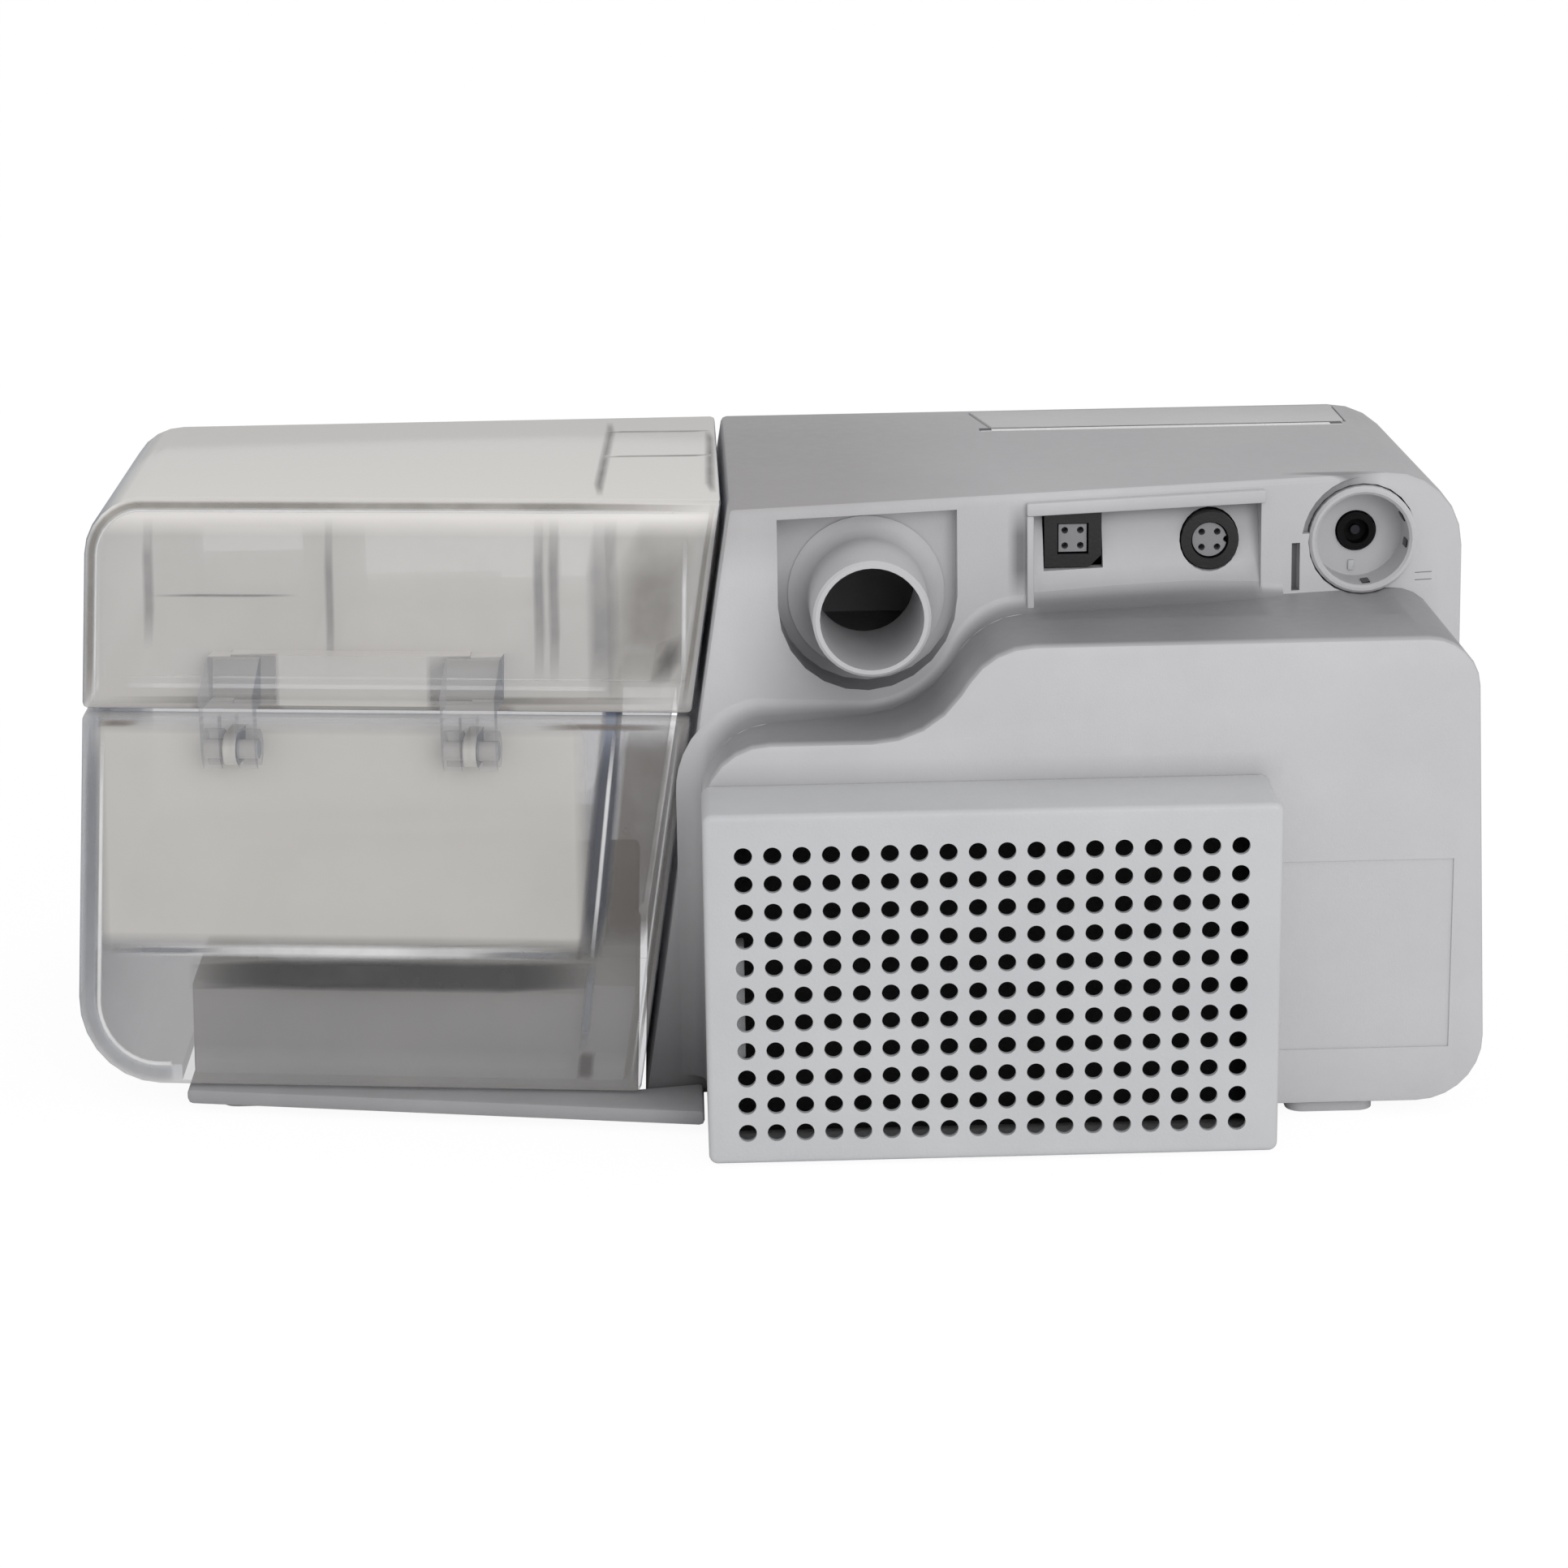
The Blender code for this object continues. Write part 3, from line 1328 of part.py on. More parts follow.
def water_tank():
    mesh = hum_between(hum_corners())
    mesh = trim(mesh, (0, 0, SPLIT_Z - SPLIT_GAP / 2), UP)
    tank = add_part("water_tank", mesh, clear_plastic(), (hum_left(HUM_BOTTOM), 0, HUM_BOTTOM))
    soften(tank, HUM_EDGE)
    cut(tank, hum_between(water_room(), 0, HUM_WALL), "water_room")
    cut(tank, hum_between(skirt_room(), 0, HUM_WALL), "skirt_room")
    cut(tank, hum_between(side_room(), 0, HUM_WALL + CLEAR), "side_room")
    window = prism(heater_rectangle(FLOOR_WINDOW_LIP), TUB_FLOOR - OVERRUN / 2, floor_top() + OVERRUN / 2, "Z")
    cut(tank, window, "floor_window")
    for index, x in enumerate(HOOK_MIDDLES):
        frame = hinge_frame(x)
        ear = prism(ear_outline(), -EAR_WIDE / 2, EAR_WIDE / 2, "X")
        join(tank, moved(ear, frame), f"ear_{index + 1}")
        pin = rod((-HOOK_WIDE / 2, 0, 0), (HOOK_WIDE / 2, 0, 0), HINGE_PIN, sides=16)
        join(tank, moved(pin, frame), f"hinge_pin_{index + 1}")
    for side in (-1, 1):
        join(tank, moved(latch_lug(side), latch_frame()), f"latch_lug_{(side + 3) // 2}")
    reach = LATCH_WIDE / 2 + LATCH_LUG * 2
    cut(tank, moved(rod((-reach, 0, 0), (reach, 0, 0), LATCH_BORE, sides=16), latch_frame()), "latch_bore")
    plate = prism(heater_rectangle(), TUB_FLOOR - CLEAR - TANK_PLATE_THICK, TUB_FLOOR - CLEAR, "Z")
    add_part("tank_heat_plate", plate, steel())


# Lid, with its hooks, insert, duct, seal and latch

def hook_arm():
    """Side view of a hook: round at the pin, up outside it, then in to the lid's wall."""
    low = HINGE_BAR_LOW - HINGE_Z + CLEAR
    high = HINGE_BAR_HIGH - HINGE_Z - CLEAR
    wall = HINGE_OFF + HUM_WALL / 2
    inner = HOOK_ARM - HOOK_OUTER
    points = [(HOOK_OUTER * math.cos(turn), HOOK_OUTER * math.sin(turn))
              for turn in hook_turns(-math.pi, math.acos(inner / HOOK_OUTER))]
    return points + [
        (inner, low), (wall + HUM_REAR_LEAN * low, low), (wall + HUM_REAR_LEAN * high, high),
        (wall + HUM_REAR_LEAN * high - HINGE_BAR_OUT - HUM_WALL, high), (-HOOK_OUTER, low + HOOK_ARM),
    ]


def hook_turns(start, end):
    steps = math.ceil((end - start) / ARC_STEP)
    return [start + (end - start) * step / steps for step in range(steps + 1)]


def humidifier_lid():
    mesh = hum_between(hum_corners())
    mesh = trim(mesh, (0, 0, SPLIT_Z + SPLIT_GAP / 2), -UP)
    lid = add_part("humidifier_lid", mesh, clear_plastic(), hinge_frame(HOOK_MIDDLES[0]).translation)
    soften(lid, HUM_EDGE)
    room = slab(hum_corners(), HUM_WALL, hum_rear_plane(HUM_WALL), front_plane(HUM_WALL))
    cut(lid, room, "inside")
    bar = hinge_bar()
    join(lid, bar, "hinge_bar")
    for index, x in enumerate(HOOK_MIDDLES):
        frame = hinge_frame(x)
        half = HOOK_WIDE / 2
        join(lid, moved(prism(hook_arm(), -half, half, "X"), frame), f"hook_arm_{index + 1}")
        bore = rod((-HOOK_WIDE, 0, 0), (HOOK_WIDE, 0, 0), HOOK_BORE, sides=16)
        cut(lid, moved(bore, frame), f"hook_bore_{index + 1}")
        mouth = box((-HOOK_WIDE, -HINGE_PIN + CLEAR, -OVERRUN), (HOOK_WIDE, HINGE_PIN - CLEAR, 0))
        cut(lid, moved(mouth, frame), f"hook_mouth_{index + 1}")
        fork = box((-FORK_GAP / 2, -HOOK_OUTER - CLEAR, -OVERRUN),
                   (FORK_GAP / 2, HINGE_OFF - CLEAR, HINGE_BAR_LOW - HINGE_Z - CLEAR))
        cut(lid, moved(fork, frame), f"fork_{index + 1}")
    for name, y in ports():
        cut(lid, port_rod(y, PORT_BORE, -SEAM_GAP, SEAM_GAP + OVERRUN / 2), name + "_port")


def hinge_bar():
    """The raised bar between the hooks, along the lid's rear wall."""
    corners = rectangle(HOOK_MIDDLES[0], HINGE_BAR_LOW, HOOK_MIDDLES[1], HINGE_BAR_HIGH)
    point, normal = hum_rear_plane(HUM_WALL / 2)
    return slab(corners, 0, hum_rear_plane(-HINGE_BAR_OUT), (point, -normal))


def lid_room_left(z):
    return hum_left(z) + HUM_WALL + CLEAR


def insert_corners(low, high):
    return [
        (lid_room_left(low), low, 0), (DUCT_LEFT - CLEAR, low, 0),
        (DUCT_LEFT - CLEAR, high, 0), (lid_room_left(low), high, 0),
    ]


def lid_insert():
    """The splash insert: a shelf with upright baffles and a cell at its left."""
    gap = HUM_WALL + CLEAR
    high = CASE_TOP - INSERT_TOP_GAP
    shelf = insert_corners(INSERT_FLOOR, INSERT_FLOOR + INSERT_WALL)
    insert = add_part("lid_insert", hum_between(shelf, 0, gap), clear_plastic())
    for index, x in enumerate(BAFFLE_PLACES):
        wall = rectangle(x - INSERT_WALL / 2, INSERT_FLOOR + INSERT_WALL / 2, x + INSERT_WALL / 2, high)
        join(insert, hum_between(wall, 0, gap), f"baffle_{index + 1}")
    cell = rectangle(CELL_LEFT, CELL_LOW, CELL_RIGHT, high)
    rib = rectangle(CELL_LEFT, INSERT_FLOOR + INSERT_WALL / 2, CELL_LEFT + CELL_WALL, CELL_LOW + CELL_WALL / 2)
    join(insert, hum_between(rib, 0, gap), "cell_foot")
    join(insert, hum_between(cell, 0, gap), "cell")
    inside = rectangle(CELL_LEFT + CELL_WALL, CELL_LOW + CELL_WALL, CELL_RIGHT - CELL_WALL, high - CELL_WALL)
    cut(insert, hum_between(inside, 0, -CLEAR), "cell_room")
    duct = [
        (DUCT_LEFT, INSERT_FLOOR, 0), (seam_x(INSERT_FLOOR) - SEAM_GAP - gap, INSERT_FLOOR, 0),
        (seam_x(high) - SEAM_GAP - gap, high, 0), (DUCT_LEFT, high, 0),
    ]
    shell = add_part("lid_air_duct", hum_between(duct, 0, gap), clear_plastic())
    cut(shell, hum_between(duct, INSERT_WALL, gap + INSERT_WALL), "inside")
    step = (PORT_Y_SUPPLY - PORT_Y_RETURN) / 2
    middle = PORT_Y_RETURN + step
    wall = box((DUCT_LEFT + INSERT_WALL / 2, middle - INSERT_WALL / 2, INSERT_FLOOR + INSERT_WALL / 2),
               (seam_x(INSERT_FLOOR) - SEAM_GAP - gap - INSERT_WALL / 2, middle + INSERT_WALL / 2,
                high - INSERT_WALL / 2))
    join(shell, wall, "divider")
    for name, y in ports():
        cut(shell, port_rod(y, PORT_BORE, -SEAM_GAP, OVERRUN / 2), name + "_port")
        mouth = box((DUCT_LEFT + INSERT_WALL, y - PORT_BORE, INSERT_FLOOR - OVERRUN),
                    (DUCT_LEFT + INSERT_WALL + PORT_BORE, y + PORT_BORE, INSERT_FLOOR + INSERT_WALL + CLEAR))
        cut(shell, mouth, name + "_mouth")


def lid_seal():
    low = SPLIT_Z
    high = low + SEAL_HIGH
    corners = [
        (lid_room_left(low), low, 0), (partition_x(low) + PARTITION_WALL, low, 0),
        (partition_x(low) + PARTITION_WALL, high, 0), (lid_room_left(low), high, 0),
    ]
    seal = add_part("lid_seal", hum_between(corners, 0, HUM_WALL + CLEAR), silicone())
    room = rectangle(lid_room_left(low) + SEAL_WIDE, low - OVERRUN,
                     partition_x(low) + PARTITION_WALL - SEAL_WIDE, high + OVERRUN)
    cut(seal, hum_between(room, 0, HUM_WALL + CLEAR + SEAL_WIDE), "inside")


def latch_frame():
    """A frame on the latch's pin, its X along the pin and its Z up the front face."""
    tilt = Matrix.Rotation(-math.atan(FRONT_LEAN), 4, "X")
    at = Vector((LATCH_X, front_y(LATCH_LOW), LATCH_LOW)) + front_out() * (LATCH_BOSS + CLEAR)
    return Matrix.Translation(at) @ tilt


def latch_lug(side):
    half = LATCH_WIDE / 2
    inner = half + CLEAR
    lug = box((inner, -LATCH_BOSS - HUM_WALL / 2, -LATCH_BOSS), (inner + LATCH_LUG, LATCH_BOSS, LATCH_BOSS))
    if side < 0:
        lug.transform(Matrix.Translation((-inner * 2 - LATCH_LUG, 0, 0)))
    return lug


def lid_latch():
    frame = latch_frame()
    half = LATCH_WIDE / 2
    high = LATCH_HIGH - LATCH_LOW
    plate = box((-half, -LATCH_BOSS + CLEAR, 0), (half, -LATCH_BOSS + CLEAR + LATCH_THICK, high))
    latch = add_part("lid_latch", moved(plate, frame), clear_plastic(), frame.translation)
    boss = rod((-half, 0, 0), (half, 0, 0), LATCH_BOSS - CLEAR, sides=20)
    join(latch, moved(boss, frame), "boss")
    reach = half + CLEAR + LATCH_LUG
    join(latch, moved(rod((-reach, 0, 0), (reach, 0, 0), LATCH_PIN, sides=16), frame), "pin")


# Air ducts and port seals inside the main unit

def seam_out():
    """Square to the main unit's left wall, towards the humidifier."""
    return Vector((-1, 0, (SEAM_TOP - SEAM_BASE) / CASE_TOP)).normalized()


def port_seals():
    for name, y in ports():
        base = Vector((seam_x(PORT_Z), y, PORT_Z)) - seam_out() * (CASE_WALL + PORT_SEAL_LIP)
        high = CASE_WALL + PORT_SEAL_LIP + PORT_SEAL_OUT
        lip = PORT_SEAL_LIP - CLEAR
        profile = [
            (PORT_BORE, 0), (PORT_RADIUS + PORT_SEAL_LIP, 0), (PORT_RADIUS + PORT_SEAL_LIP, lip),
            (PORT_RADIUS, lip), (PORT_RADIUS, high), (PORT_BORE, high),
        ]
        seal = turned(profile, base, seam_out(), 28)
        add_part(name + "_port_seal", smooth(seal), silicone())


def box_duct(name, low, high, holes):
    """A box duct with thin walls and round holes."""
    duct = add_part(name, box(low, high), base_grey())
    soften(duct, CASE_EDGE)
    inset = Vector((DUCT_WALL, DUCT_WALL, DUCT_WALL))
    cut(duct, box(Vector(low) + inset, Vector(high) - inset), "inside")
    for index, (start, end, radius) in enumerate(holes):
        cut(duct, rod(start, end, radius), f"hole_{index + 1}")


def duct_left():
    return seam_x(PORT_Z - DUCT_OUTER) + DUCT_BEND


def duct_side(y):
    """The line of a duct's hole towards its port."""
    return (duct_left() - OVERRUN, y, PORT_Z), (duct_left() + OVERRUN / 2, y, PORT_Z)


def ducts():
    """One duct from the return port to the outlet pipe, one from the blower to the supply port."""
    near = POCKET_FLOOR_Y + CASE_WALL + CLEAR
    low = (duct_left(), near, OUTLET_Z - DUCT_OUTER)
    high = (OUTLET_X + DUCT_OUTER, PORT_Y_RETURN + DUCT_OUTER, OUTLET_Z + DUCT_OUTER)
    spigot = (OUTLET_X, near - OVERRUN, OUTLET_Z), (OUTLET_X, near + OVERRUN, OUTLET_Z)
    side = duct_side(PORT_Y_RETURN)
    box_duct("return_duct", low, high, [(*spigot, OUTLET_OUTER + CLEAR), (*side, PORT_BORE)])
    low = (duct_left(), PORT_Y_SUPPLY - DUCT_OUTER, neck_z() - NECK_HIGH / 2)
    high = (duct_left() + DUCT_OUTER * 2, PORT_Y_SUPPLY + DUCT_OUTER, PORT_Z + DUCT_OUTER)
    side = duct_side(PORT_Y_SUPPLY)
    x = duct_left() + DUCT_OUTER * 2
    z = neck_z() + DUCT_WALL
    mouth = (x - OVERRUN / 2, PORT_Y_SUPPLY, z), (x + OVERRUN, PORT_Y_SUPPLY, z)
    box_duct("supply_duct", low, high, [(*side, PORT_BORE), (*mouth, NECK_BORE)])


# Base plate, feet and screws

def base_plate_low():
    return CASE_BOTTOM + BLOCK_LIFT + CASE_WALL + CLEAR


def base_plate_high():
    return base_plate_low() + PLATE_THICK


def plate_corners():
    return rectangle(WINDOW_LEFT, WINDOW_NEAR, WINDOW_RIGHT, WINDOW_FAR, WINDOW_CORNER)


def screw_places():
    inset = PLATE_LAP / 2
    xs = (WINDOW_LEFT - inset, WINDOW_RIGHT + inset)
    ys = (WINDOW_NEAR + SCREW_INSET, WINDOW_FAR - SCREW_INSET)
    return [(x, y) for x in xs for y in ys]


def base_plate():
    mesh = prism(outline(plate_corners(), -PLATE_LAP), base_plate_low(), base_plate_high(), "Z")
    plate = add_part("base_plate", mesh, casing_grey())
    for index, (x, y) in enumerate(screw_places()):
        hole = rod((x, y, base_plate_low() - OVERRUN), (x, y, base_plate_high() + OVERRUN),
                   SCREW_SHANK + CLEAR, sides=12)
        cut(plate, hole, f"screw_hole_{index + 1}")
    return plate


def screws():
    """Four screws up through the casing's rim into the base plate."""
    head = CASE_BOTTOM + CLEAR
    profile = [
        (0, 0), (SCREW_HEAD, 0), (SCREW_HEAD, SCREW_HEAD_HIGH), (SCREW_SHANK, SCREW_HEAD_HIGH),
        (SCREW_SHANK, SCREW_LONG), (0, SCREW_LONG),
    ]
    for index, (x, y) in enumerate(screw_places()):
        screw = turned(profile, (x, y, head), UP, 12)
        add_part(f"base_screw_{index + 1}", smooth(screw), steel())


def screw_wells(casing):
    """A stepped hole for each base screw, cut in the casing's rim."""
    shoulder = OVERRUN + CLEAR * 2 + SCREW_HEAD_HIGH
    profile = [
        (0, 0), (SCREW_HEAD + CLEAR, 0), (SCREW_HEAD + CLEAR, shoulder), (SCREW_SHANK + CLEAR, shoulder),
        (SCREW_SHANK + CLEAR, OVERRUN + OVERRUN / 2), (0, OVERRUN + OVERRUN / 2),
    ]
    for index, (x, y) in enumerate(screw_places()):
        cut(casing, turned(profile, (x, y, CASE_BOTTOM - OVERRUN), UP, 12), f"screw_well_{index + 1}")


def foot(name, x, y, top):
    half_x, half_y = FOOT_WIDE / 2, FOOT_DEEP / 2
    corners = rectangle(x - half_x, y - half_y, x + half_x, y + half_y, FOOT_CORNER)
    add_part(name, prism(outline(corners), 0, top - CLEAR, "Z"), rubber())


def feet():
    places = [(x, y) for x in (FOOT_LEFT_X, FOOT_RIGHT_X) for y in (FOOT_REAR_Y, FOOT_FRONT_Y)]
    for index, (x, y) in enumerate(places):
        foot(f"foot_{index + 1}", x, y, CASE_BOTTOM)
    places = [(x, y) for x in (HUM_FOOT_LEFT_X, HUM_FOOT_RIGHT_X) for y in (HUM_FOOT_REAR_Y, HUM_FOOT_FRONT_Y)]
    for index, (x, y) in enumerate(places):
        foot(f"humidifier_foot_{index + 1}", x, y, BASE_LOW)


# Blower

def blower_low():
    return base_plate_high() + BLOWER_FOOT


def neck_z():
    return blower_low() + BLOWER_HALF


def blower():
    low = blower_low()
    middle = low + BLOWER_HALF
    high = middle + BLOWER_HALF
    room = BLOWER_RADIUS - BLOWER_WALL
    centre = (BLOWER_X, BLOWER_Y)
    lower = add_part("blower_base", rod((*centre, low), (*centre, middle - CLEAR / 2), BLOWER_RADIUS, sides=36),
                     base_grey())
    join(lower, neck(low + BLOWER_HALF - NECK_HIGH / 2, middle - CLEAR / 2), "neck")
    cut(lower, rod((*centre, low + BLOWER_WALL), (*centre, middle + OVERRUN), room, sides=36), "room")
    cut(lower, neck_room(), "neck_room")
    cut(lower, rod((*centre, low - OVERRUN), (*centre, low + OVERRUN / 2), SHAFT_BORE, sides=16), "shaft_hole")
    upper = add_part("blower_cover", rod((*centre, middle + CLEAR / 2), (*centre, high), BLOWER_RADIUS, sides=36),
                     base_grey())
    join(upper, neck(middle + CLEAR / 2, middle + NECK_HIGH / 2), "neck")
    cut(upper, rod((*centre, middle - OVERRUN), (*centre, high - BLOWER_WALL), room, sides=36), "room")
    cut(upper, neck_room(), "neck_room")
    cut(upper, rod((*centre, high - OVERRUN / 2), (*centre, high + OVERRUN), BLOWER_EYE, sides=28), "eye")
    wheel()
    motor = [
        (SHAFT_BORE, 0), (MOTOR_RADIUS, 0), (MOTOR_RADIUS, -motor_high()), (SHAFT_BORE, -motor_high()),
    ]
    add_part("blower_motor", smooth(turned(motor, (*centre, low - CLEAR), UP, 28)), steel())
    for index in range(PADS):
        turn = math.tau * (index + 0.5) / PADS
        x = BLOWER_X + PAD_RING * math.cos(turn)
        y = BLOWER_Y + PAD_RING * math.sin(turn)
        pad = rod((x, y, base_plate_high() + CLEAR), (x, y, low - CLEAR), PAD_RADIUS, sides=16)
        add_part(f"blower_pad_{index + 1}", smooth(pad), rubber())


def motor_high():
    return BLOWER_FOOT - CLEAR * 2


def neck(low, high):
    """The blower's outlet, from its rim to the supply duct."""
    start = duct_left() + DUCT_OUTER * 2 + CLEAR
    return box((start, PORT_Y_SUPPLY - NECK_WIDE / 2, low), (BLOWER_X, PORT_Y_SUPPLY + NECK_WIDE / 2, high))


def neck_room():
    start = duct_left() + DUCT_OUTER * 2 - OVERRUN
    half = NECK_WIDE / 2 - BLOWER_WALL
    rise = NECK_HIGH / 2 - BLOWER_WALL
    return box((start, PORT_Y_SUPPLY - half, neck_z() - rise), (BLOWER_X, PORT_Y_SUPPLY + half, neck_z() + rise))


def wheel():
    """The impeller: a hub and disc with swept blades, on its shaft."""
    foot_z = blower_low() + BLOWER_WALL + IMPELLER_LIFT
    base = (BLOWER_X, BLOWER_Y, foot_z)
    profile = [
        (SHAFT_BORE, 0), (IMPELLER_RADIUS, 0), (IMPELLER_RADIUS, IMPELLER_DISC),
        (IMPELLER_HUB, IMPELLER_DISC), (IMPELLER_HUB, IMPELLER_HIGH), (SHAFT_BORE, IMPELLER_HIGH),
    ]
    impeller = add_part("blower_impeller", turned(profile, base, UP, 32), black_plastic(), base)
    for index in range(BLADES):
        blade = box((IMPELLER_HUB - CASE_EDGE, -BLADE_THICK / 2, IMPELLER_DISC / 2),
                    (IMPELLER_RADIUS - CASE_EDGE, BLADE_THICK / 2, IMPELLER_HIGH - IMPELLER_DISC))
        pivot = Matrix.Translation((IMPELLER_HUB, 0, 0))
        turn = pivot @ Matrix.Rotation(BLADE_SWEEP, 4, "Z") @ pivot.inverted()
        place = Matrix.Translation(base) @ Matrix.Rotation(math.tau * index / BLADES, 4, "Z") @ turn
        join(impeller, moved(blade, place), f"blade_{index + 1}")
    shaft = rod((BLOWER_X, BLOWER_Y, blower_low() - motor_high()),
                (BLOWER_X, BLOWER_Y, foot_z + IMPELLER_HIGH + CASE_EDGE), SHAFT_RADIUS, sides=16)
    add_part("blower_shaft", smooth(shaft), steel(), base)


# Main board at the right of the blower, on posts from the base plate

def main_board():
    low = (MAIN_BOARD_LEFT, MAIN_BOARD_NEAR, MAIN_BOARD_Z)
    high = (MAIN_BOARD_RIGHT, MAIN_BOARD_FAR, MAIN_BOARD_Z + BOARD_THICK)
    add_part("main_board", box(low, high), board_green())


def board_posts(plate):
    x = MAIN_BOARD_LEFT + BOARD_POST
    for index, y in enumerate((MAIN_BOARD_NEAR + MAIN_POST_INSET, MAIN_BOARD_FAR - MAIN_POST_INSET)):
        post = rod((x, y, base_plate_high() - PLATE_THICK / 2), (x, y, MAIN_BOARD_Z - CLEAR), BOARD_POST, sides=12)
        join(plate, post, f"board_post_{index + 1}")


def build():
    screw_wells(main_casing())
    filter_cover()
    filter_pad()
    outlet_pipe()
    square_socket()
    round_socket()
    power_inlet()
    start_bar()
    front_panel()
    display()
    control_knob()
    key("home_button", KEY_PLACES[0])
    key("ramp_button", KEY_PLACES[1])
    port_seals()
    ducts()
    board_posts(base_plate())
    screws()
    feet()
    blower()
    main_board()
    humidifier_base()
    heater()
    water_tank()
    humidifier_lid()
    lid_insert()
    lid_seal()
    lid_latch()


build()
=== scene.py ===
# Looks of the bilevel airway pressure machine: finishes for the solids, and fine detail that stands on them
import math
import bmesh
import bpy
from mathutils import Matrix, Vector
from mathutils.geometry import tessellate_polygon

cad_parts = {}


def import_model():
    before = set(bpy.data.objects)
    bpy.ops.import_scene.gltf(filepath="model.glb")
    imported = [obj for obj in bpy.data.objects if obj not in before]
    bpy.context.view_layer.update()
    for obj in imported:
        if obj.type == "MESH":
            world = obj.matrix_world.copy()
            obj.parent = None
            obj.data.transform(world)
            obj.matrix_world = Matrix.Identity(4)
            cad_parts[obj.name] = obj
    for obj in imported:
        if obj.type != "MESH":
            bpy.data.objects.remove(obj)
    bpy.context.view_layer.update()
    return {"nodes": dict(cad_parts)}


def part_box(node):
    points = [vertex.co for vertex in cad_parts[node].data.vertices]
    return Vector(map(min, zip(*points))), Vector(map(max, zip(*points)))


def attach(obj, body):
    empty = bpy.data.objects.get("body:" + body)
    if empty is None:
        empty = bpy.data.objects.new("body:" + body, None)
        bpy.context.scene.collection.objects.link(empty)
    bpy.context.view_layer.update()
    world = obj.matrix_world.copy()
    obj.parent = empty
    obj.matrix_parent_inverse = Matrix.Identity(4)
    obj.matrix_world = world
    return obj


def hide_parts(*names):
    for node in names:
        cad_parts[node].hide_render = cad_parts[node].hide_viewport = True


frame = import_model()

NODES = frame["nodes"]


# Colours are written as they look on screen and turned into linear light here

def linear(*levels):
    out = []
    for level in levels:
        value = level / 255
        out.append(value / 12.92 if value <= 0.04045 else ((value + 0.055) / 1.055) ** 2.4)
    return (*out, 1.0)


# Shader node helpers

MIX_FROM, MIX_TO, MIX_RESULT = 6, 7, 2


def fresh(name):
    """A new material with an empty node tree."""
    made = bpy.data.materials.new(name)
    made.use_nodes = True
    made.node_tree.nodes.clear()
    return made, made.node_tree


def add(tree, kind, **settings):
    node = tree.nodes.new(kind)
    for key, value in settings.items():
        setattr(node, key, value)
    return node


def feed(tree, socket, value):
    """Links a socket to another node's output, or sets it to a plain value."""
    if isinstance(value, bpy.types.NodeSocket):
        tree.links.new(value, socket)
    else:
        socket.default_value = value


def coordinates(tree, kind):
    return add(tree, "ShaderNodeTexCoord").outputs[kind]


def axis_of(tree, vector, axis):
    parts = add(tree, "ShaderNodeSeparateXYZ")
    tree.links.new(vector, parts.inputs[0])
    return parts.outputs[axis]


def noise(tree, source, scale, detail=3.0, rough=0.6):
    node = add(tree, "ShaderNodeTexNoise")
    node.inputs["Scale"].default_value = scale
    node.inputs["Detail"].default_value = detail
    node.inputs["Roughness"].default_value = rough
    tree.links.new(source, node.inputs["Vector"])
    return node.outputs["Fac"]


def mapped(tree, value, start, end, low=0.0, high=1.0):
    """Runs from low to high while a value runs from start to end, and stays there beyond them."""
    node = add(tree, "ShaderNodeMapRange")
    for name, number in (("From Min", start), ("From Max", end), ("To Min", low), ("To Max", high)):
        node.inputs[name].default_value = number
    tree.links.new(value, node.inputs["Value"])
    return node.outputs["Result"]


def spread(tree, value, low, high):
    """Stretches a value that mostly lies between 0.3 and 0.7, as noise does, over a range."""
    return mapped(tree, value, 0.3, 0.7, low, high)


def tint(tree, factor, low, high):
    """Turns one colour towards another as a factor rises."""
    node = add(tree, "ShaderNodeMix", data_type="RGBA")
    feed(tree, node.inputs[MIX_FROM], low)
    feed(tree, node.inputs[MIX_TO], high)
    tree.links.new(factor, node.inputs["Factor"])
    return node.outputs[MIX_RESULT]


def bump(tree, height, depth):
    node = add(tree, "ShaderNodeBump")
    node.inputs["Strength"].default_value = 1.0
    node.inputs["Distance"].default_value = depth
    tree.links.new(height, node.inputs["Height"])
    return node.outputs["Normal"]


def combined(tree, operation, first, second, clamp=False):
    node = add(tree, "ShaderNodeMath", operation=operation, use_clamp=clamp)
    feed(tree, node.inputs[0], first)
    feed(tree, node.inputs[1], second)
    return node.outputs[0]


def times(tree, first, second):
    return combined(tree, "MULTIPLY", first, second)


def plus(tree, first, second):
    """A sum that stays between 0 and 1."""
    return combined(tree, "ADD", first, second, clamp=True)


def mixed(tree, share, first, second):
    """Two shaders, the second of which shows by a share."""
    node = add(tree, "ShaderNodeMixShader")
    tree.links.new(share, node.inputs["Fac"])
    tree.links.new(first, node.inputs[1])
    tree.links.new(second, node.inputs[2])
    return node.outputs["Shader"]


def shown(tree, shader):
    """Puts a shader on the surface and returns the output node."""
    out = add(tree, "ShaderNodeOutputMaterial")
    tree.links.new(shader, out.inputs["Surface"])
    return out


def within(tree, place, axis, low, high, soft):
    """A mask that is 1 where a coordinate lies between two values, and fades over a short way."""
    value = axis_of(tree, place, axis)
    rise = mapped(tree, value, low - soft / 2, low + soft / 2)
    fall = mapped(tree, value, high + soft / 2, high - soft / 2)
    return times(tree, rise, fall)


